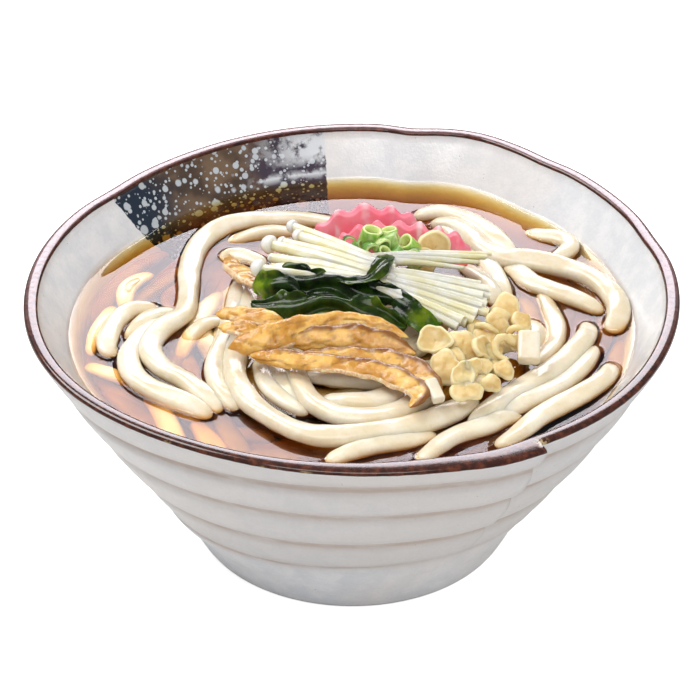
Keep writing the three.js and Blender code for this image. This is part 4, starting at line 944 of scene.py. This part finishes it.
def fish_cake_slice(name, start, end, rise, lean, pitch, thickness, material):
    """A slice that leans back, with crinkled faces and a scalloped upper edge."""
    start, end = np.array(start, float), np.array(end, float)
    width = np.linalg.norm(end - start)
    along = (end - start) / width
    back = unit(np.cross([0, 0, 1], along))
    share = np.linspace(0, 1, 150)[:, None]
    up = np.linspace(0, 1, 26)[None, :]
    turn = 2 * math.pi * share * width / pitch + 0.9 * np.sin(7 * share)
    bend = CRINKLE * np.cos(turn)
    scallop = SCALLOP * (np.cos(turn) + 0.3 * np.cos(0.5 * turn + 1))
    height = rise * (0.3 + 0.7 * np.sqrt(np.maximum(0, 1 - (2 * share - 1) ** 2))) + scallop
    grid = (start + along * (share * width)[..., None] + back * (bend + lean * up)[..., None]
            + np.array([0, 0, 1.0]) * (up * height)[..., None])
    grid = grid + back * (0.25 * grain(grid, 5, 3))[..., None]
    round_top = np.clip((1 - up) * 9, 0.35, 1) ** 0.5 * np.clip(np.minimum(share, 1 - share) * 22, 0.35, 1) ** 0.5
    points, faces = closed_sheet(grid, thickness * round_top)
    # where the furrows get their pale paste and painted highlight
    pale_furrow_and_highlight = smooth(bend, 0.1, CRINKLE) * smooth(up, 0.15, 0.5)
    tint = smooth(share, 0.86, 0.97) * (1 - smooth(up, 0.2, 0.55)) * 0.6
    layers = {"pale_furrow_and_highlight": np.tile(pale_furrow_and_highlight.ravel(), 2), "broth_stain": np.tile(tint.ravel(), 2)}
    piece(name + "_slice", points, faces, material, [name], layers)


# ------------------------------------------------------------------ spring onion
# middle x, y, z, outer radius, length, tilt, turn, how dark its green is
ONIONS = [(-1, 22, 87.2, 1.9, 3.5, 70, 10, 1.0), (2, 18.5, 87.4, 2.0, 3.6, 60, 60, 0.9),
          (5.5, 20.5, 90, 3.0, 5.6, 20, 60, 0.25), (11.5, 21, 89.8, 2.7, 4.6, 15, 200, 0.1),
          (12, 17.5, 89.4, 2.6, 5.2, 65, 80, 0.45), (9, 16.5, 88.8, 2.6, 4.6, 75, 20, 0.15),
          (17.5, 17.5, 88.6, 2.9, 5.0, 40, 300, 0.0), (14, 12.5, 88, 2.6, 4.5, 60, 130, 0.8),
          (6, 14.5, 88.2, 2.8, 4.8, 75, 20, 0.9), (19.5, 11.5, 87.2, 3.1, 3.2, 70, 340, 0.85),
          (9.5, 12.5, 87.6, 2.5, 4.6, 35, 40, 1.0), (4, 22.5, 86.4, 2.2, 3.5, 55, 150, 0.3)]


def onion_finish():
    f = Finish("spring onion")
    light = f.two_tones((152, 200, 72), (222, 236, 164), 2.5, rough=0.6, where=f.stretched((1, 1, 0.3)))
    dark = f.two_tones((40, 96, 28), (90, 146, 44), 2.5)
    base = f.blend(f.layer("dark"), light, dark)
    base = f.blend(f.layer("inside"), base, (222, 236, 160))
    bump = f.relief(f.noise(0.8, 2), 0.1, 0.5)
    return f.done(Base_Color=base, Roughness=0.28, Normal=bump, Subsurface_Weight=0.3,
                  Subsurface_Radius=(0.6, 1.0, 0.3), Subsurface_Scale=0.0025)


def turned(points, tilt, turn, centre):
    """Leans points about the X axis, turns them about Z and moves them to their place."""
    matrix = Matrix.Rotation(math.radians(turn), 3, "Z") @ Matrix.Rotation(math.radians(tilt), 3, "X")
    return np.asarray(points) @ np.array(matrix).T + np.array(centre)


def make_onion(material):
    """The heap of cut rings, each a short tube, a little oval and cut at a slant."""
    heap = Heap("dark", "inside")
    cols = 36
    around = np.linspace(0, 2 * math.pi, cols, endpoint=False)
    for i, (x, y, z, radius, length, tilt, turn, dark) in enumerate(ONIONS):
        oval = 1 + 0.1 * np.cos(2 * around + i) + 0.04 * np.cos(3 * around + 2 * i)
        half = length / 2
        wall = [(0.7, -half + 0.25), (0.76, -half), (0.94, -half), (1, -half + 0.25), (1, 0), (1, half - 0.25),
                (0.94, half), (0.76, half), (0.7, half - 0.25), (0.7, 0)]
        rings = []
        for r, h in wall:
            slant = 0.12 * h * np.cos(around + i)
            rings.append(np.stack([radius * r * oval * np.cos(around), radius * r * oval * np.sin(around),
                                   h + slant], 1))
        faces = grid_faces(len(rings), cols, closed=True)
        last = (len(rings) - 1) * cols
        faces += [(last + j, last + (j + 1) % cols, (j + 1) % cols, j) for j in range(cols)]
        inside = np.repeat([1, 1, 0.5, 0, 0, 0, 0.5, 1, 1, 1], cols)
        heap.add(turned(np.vstack(rings), tilt, turn, (x, y, z)), faces, dark=dark, inside=inside)
    heap.piece("spring_onion_rings", material, "onion", ["spring_onion"])


# ------------------------------------------------------------------ crisp batter drops
# x, y, z, radius, tilt, turn, cup (hollow above 0, domed below)
LONE_DROPS = {
    "batter_drop_large": (25.5, 19.8, 86.6, 5.2, 66, 6, 0.5),
    "batter_drop_small": (22.5, 15.5, 83.8, 4.2, 35, 10, 0.4),
}
DROPS = [(24.5, -27, 82.2, 5.0, 34, -20, 0.9), (32.5, -28.5, 82, 5.4, 30, 10, -0.8),
         (38.5, -30, 81.6, 4.2, 50, 70, 0.4), (27, -39.5, 81.2, 5.4, 32, -10, -0.9),
         (32, -46, 82.6, 4.0, 26, 15, 0.9), (35, -43, 83.6, 3, 45, 20, -0.6), (33, -50.5, 80.6, 4.6, 14, 0, -0.5),
         (40.5, -46, 80.4, 3, 35, 30, -0.9), (41.5, -29.5, 80.2, 3.4, 30, 40, -0.6),
         (46.5, -8.5, 81.6, 5.0, 35, -10, -0.5), (44, -15.5, 82.4, 4.0, 38, 15, -0.7),
         (51, -14.5, 81, 3.6, 22, 50, -0.6), (37.5, -17, 80.4, 3.6, 25, 60, -0.5), (48, -25, 80.6, 3.0, 45, 20, 0.6),
         (38, -37, 80, 3.6, 20, 60, -0.5), (44.5, -38, 79.8, 3.2, 20, 10, -0.7),
         (39, -24, 80.4, 4.2, 35, -10, -0.5), (29, -34, 80, 4.2, 25, -30, -0.5)]
# those that lie lower, on the noodles
LOWER_DROPS = [(29, -30, 78, 4.4, 12, 20, -0.5), (36, -34, 77.8, 4.6, 8, 70, -0.6),
               (34, -42, 77.9, 4.2, 10, -40, -0.5), (40.5, -27, 77.8, 4.4, 9, 110, -0.6),
               (43.5, -33.5, 77.6, 3.6, 10, 0, -0.5), (45.5, -21, 77.9, 4.0, 8, 50, -0.6),
               (41, -15.5, 78, 3.6, 12, 10, -0.5), (38.5, -41.5, 77.8, 3.6, 10, 90, -0.5)]
# x, y, z, radius, tilt, turn, how many degrees it runs round
CURLS = [(45.5, -29.5, 82, 3.4, 32, 20, 265), (40.5, -19.5, 82, 3.6, 34, 150, 170),
         (48.5, -20.5, 81.8, 2.6, 40, 200, 200)]


def batter_finish():
    f = Finish("crisp batter")
    base = f.two_tones((216, 184, 118), (232, 208, 152), 4)
    base = f.blend(f.layer("rim"), base, (242, 224, 178))
    pores = f.times(f.span(f.cells(1.1)["Distance"], 0.2, 0.1), f.span(f.noise(2.2, 1), 0.52, 0.6))
    base = f.blend(f.times(pores, 0.35), base, (204, 160, 84))
    bump = f.relief(f.noise(1.8, 3, 0.5), 0.4, 0.6)
    bump = f.relief(pores, -0.15, 0.6, bump)
    return f.done(Base_Color=base, Roughness=0.4, Normal=bump, Subsurface_Weight=0.5,
                  Subsurface_Radius=(1.0, 0.7, 0.3), Subsurface_Scale=0.004)


def batter_drop(x, y, z, radius, tilt, turn, cup, seed, lobed=1.0):
    """A small puffed disc, cupped or domed, bent a little, with an uneven lobed rim."""
    cols = 40
    around = np.linspace(0, 2 * math.pi, cols, endpoint=False)
    outline = 1 + lobed * (0.11 * np.cos(2 * around + seed) + 0.09 * np.cos(3 * around + 2.3 * seed)
                           + 0.06 * np.cos(5 * around + 1.7 * seed) + 0.02 * np.cos(9 * around + seed))
    fold = 0.16 * math.sin(2.3 * seed + 1)
    over, under = np.append(np.linspace(0.04, 0.96, 12), 1.0), np.linspace(0.95, 0.04, 10)
    rings, rims = [], []
    for r, top in [(r, True) for r in over] + [(r, False) for r in under]:
        flat = r * radius * outline
        bowl = cup * 0.32 * radius * (r ** 2.2 - 0.35) * (1 + 0.45 * np.cos(around + 3 * seed))
        bowl = bowl + fold * radius * (r * np.cos(around - seed)) ** 2
        crinkle = 0.08 * r ** 2 * np.sin(6 * around + 2 * r + seed)
        thick = 1.25 * math.sqrt(max(0, 1 - r ** 4)) * (1 if top else -1)
        lip = 0.35 * math.exp(-((r - 0.88) / 0.1) ** 2) * (top and cup > 0)
        rings.append(np.stack([flat * np.cos(around), flat * np.sin(around), bowl + thick + lip + crinkle], 1))
        rims.append(smooth(r, 0.72, 0.95) if top else 0.0)
    points, faces = closed_loft(rings)
    points += unit(points) * (0.24 * grain(points, 3.0, seed) + 0.06 * grain(points, 1.0, seed + 7))[:, None]
    return turned(points, tilt, turn, (x, y, z)), faces, capped(np.repeat(rims, cols))


def batter_curl(x, y, z, radius, tilt, turn, sweep, seed):
    """A thread of batter that fried into an open hook."""
    a = np.radians(np.linspace(0, sweep, 26))
    grow = np.linspace(0.75, 1.15, 26)
    path = np.stack([radius * grow * np.cos(a), radius * grow * np.sin(a), 0.5 * np.sin(2 * a + seed)], 1)
    share = np.linspace(0, 1, 26)
    girth = 1.5 * (1 - 0.45 * share) * np.sqrt(np.clip(1 - (2 * share - 1) ** 8, 0.04, 1))
    u, v = oblong(20, 1, 1)
    points, faces = closed_loft(swept(path, 0, u * girth[:, None], 0.8 * v * girth[:, None]))
    points += 0.25 * np.stack([grain(points, 1.8, seed + k) for k in range(3)], 1)
    return turned(points, tilt, turn, (x, y, z)), faces, np.full(len(points), 0.4)


def make_drops(material):
    for i, (name, row) in enumerate(LONE_DROPS.items()):
        points, faces, rim = batter_drop(*row, seed=40 + i, lobed=0.4)
        piece(name + "_puff", points, faces, material, [name], {"rim": rim})
    heap = Heap("rim")
    for i, row in enumerate(DROPS + LOWER_DROPS):
        points, faces, rim = batter_drop(*row, seed=i)
        heap.add(points, faces, rim=rim)
    for i, row in enumerate(CURLS):
        points, faces, rim = batter_curl(*row, seed=60 + i)
        heap.add(points, faces, rim=rim)
    heap.piece("batter_drop_heap", material, "batter", ["batter_drops"])


# ------------------------------------------------------------------ cut noodle ends
CUT_ENDS = {
    "noodle_end_large": ((52.5, -24, 83), (52, -33.5, 79.4), 3.4, 2.1),
    "noodle_end_small": ((22.5, -48, 82.2), (25, -55, 80.2), 1.9, 1.5),
}


def cut_end(name, start, end, width, depth, material):
    """A short straight length of noodle, squarely cut, with its edges a little rounded."""
    start, end = np.array(start, float), np.array(end, float)
    place = np.concatenate([[0, 0.012, 0.04, 0.09], np.linspace(0.15, 0.85, 14), [0.91, 0.96, 0.988, 1]])[:, None]
    trim = np.clip(np.minimum(place, 1 - place) / 0.09, 0, 1)
    inset = 0.86 + 0.14 * np.sqrt(1 - (1 - trim) ** 2)
    u, v = oblong(40, 0.45, 0.55)
    points, faces = closed_loft(swept(start + (end - start) * place, 0, u * width * inset, v * depth * inset))
    piece(name + "_piece", points, faces, material, [name])


# ------------------------------------------------------------------ light, floor and camera
EYE, LOOKS_AT, LENS = (0, -658.7, 497), (-0.72, 8.63, 55.5), 131.2


def lamp(name, place, aim, size, power, colour=(1, 1, 1), glossy=True, diffuse=True):
    light = bpy.data.lights.new(name, "AREA")
    light.shape, light.size, light.size_y = "RECTANGLE", size[0] * MM, size[1] * MM
    light.energy, light.color = power, colour
    obj = bpy.data.objects.new(name, light)
    obj.matrix_world = looking(place, aim)
    obj.visible_camera, obj.visible_glossy, obj.visible_diffuse = False, glossy, diffuse
    bpy.context.scene.collection.objects.link(obj)


def looking(place, aim):
    place, aim = (Vector(place) + CENTRING) * MM, (Vector(aim) + CENTRING) * MM
    turn = (aim - place).to_track_quat("-Z", "Y").to_matrix().to_4x4()
    return Matrix.Translation(place) @ turn


def make_studio():
    """A dim white room that looks bright behind the bowl, its lamps, and a floor of white paper."""
    scene = bpy.context.scene
    scene.view_settings.view_transform = "Standard"
    scene.world = bpy.data.worlds.new("white room")
    scene.world.use_nodes = True
    room = Nodes(scene.world.node_tree, "World Output")
    dim = room.tree.nodes["Background"]
    room.put(dim.inputs["Color"], (0.97, 0.97, 1.0, 1))
    room.put(dim.inputs["Strength"], 0.23)
    room.by_ray("Camera", room.add("ShaderNodeBackground", {"Strength": 1.0}), dim)

    lamp("window", (0, 620, 465), (0, 0, 465), (460, 270), 3.6, (0.97, 0.93, 1.0), diffuse=False)
    lamp("top_left", (-400, 250, 680), (0, 0, 60), (420, 420), 4.6, (1.0, 0.99, 0.98))
    lamp("top_front", (-60, -330, 740), (0, 0, 70), (420, 300), 1.9, (1.0, 0.99, 0.98))
    lamp("front", (-60, -700, 440), (0, -60, 40), (500, 160), 0.8, (0.98, 0.98, 1.0), glossy=False)
    lamp("right_fill", (620, -420, 220), (0, 0, 40), (500, 400), 0.65, (1.0, 1.0, 1.0), glossy=False)
    lamp("top_right", (520, 60, 560), (-60, 0, 75), (300, 300), 1.3, (1.0, 1.0, 1.0), glossy=False)

    floor = bpy.data.meshes.new("floor")
    half = 3.0  # half of its width, in metres
    floor.from_pydata([(-half, -half, 0), (half, -half, 0), (half, half, 0), (-half, half, 0)], [], [(0, 1, 2, 3)])
    paper = Finish("white paper")
    glow = paper.add("ShaderNodeEmission", {"Color": (1, 1, 1, 1), "Strength": 0.7})
    bright = paper.add("ShaderNodeAddShader", {0: paper.shader.outputs[0], 1: glow.outputs[0]})
    paper.by_ray("Camera", bright, paper.shader)
    floor.materials.append(paper.done(Base_Color=(0.92, 0.91, 0.9, 1), Roughness=0.9))
    obj = bpy.data.objects.new("floor", floor)
    scene.collection.objects.link(obj)


def make_camera():
    camera = bpy.data.cameras.new("camera")
    camera.lens, camera.sensor_width = LENS, 36
    camera.clip_start, camera.clip_end = 0.05, 20
    obj = bpy.data.objects.new("camera", camera)
    obj.matrix_world = looking(EYE, LOOKS_AT)
    bpy.context.scene.collection.objects.link(obj)
    bpy.context.scene.camera = obj


# ------------------------------------------------------------------ the dressed bowl
make_camera()
make_studio()
make_bowl(glaze_finish())
noodle = noodle_finish()
showing = lay_out(STRANDS.values(), 3)
touching = lay_out(SUNK.values(), 4)
noodle_heap("noodle_strands", showing, 28, noodle, ["noodles"])
noodle_heap("touching_noodles", touching[:TOUCHING], 20, noodle)
deeper = touching[TOUCHING:] + lay_out(sunk_strands(), 5, 2.6) + lay_out(mound_strands(), 6, 2.6)
noodle_heap("sunk_noodles", deeper, 14, soaked_and_shaded_finish())
make_broth(broth_finish(), showing + touching)

skin = tofu_finish()
for i, (name, (roll, *stations)) in enumerate(TOFU.items()):
    tofu_strip(name, roll, stations, i + 1, skin)
weed = seaweed_finish()
for i, (name, (pleat, roll_over, light, *stations)) in enumerate(SEAWEED.items()):
    seaweed_leaf(name, pleat, roll_over, light, stations, i + 1, weed)
make_mushrooms(mushroom_finish())
pink = fish_cake_finish()
for name, sizes in FISH_CAKE.items():
    fish_cake_slice(name, *sizes, pink)
make_onion(onion_finish())
make_drops(batter_finish())
for name, sizes in CUT_ENDS.items():
    cut_end(name, *sizes, noodle)
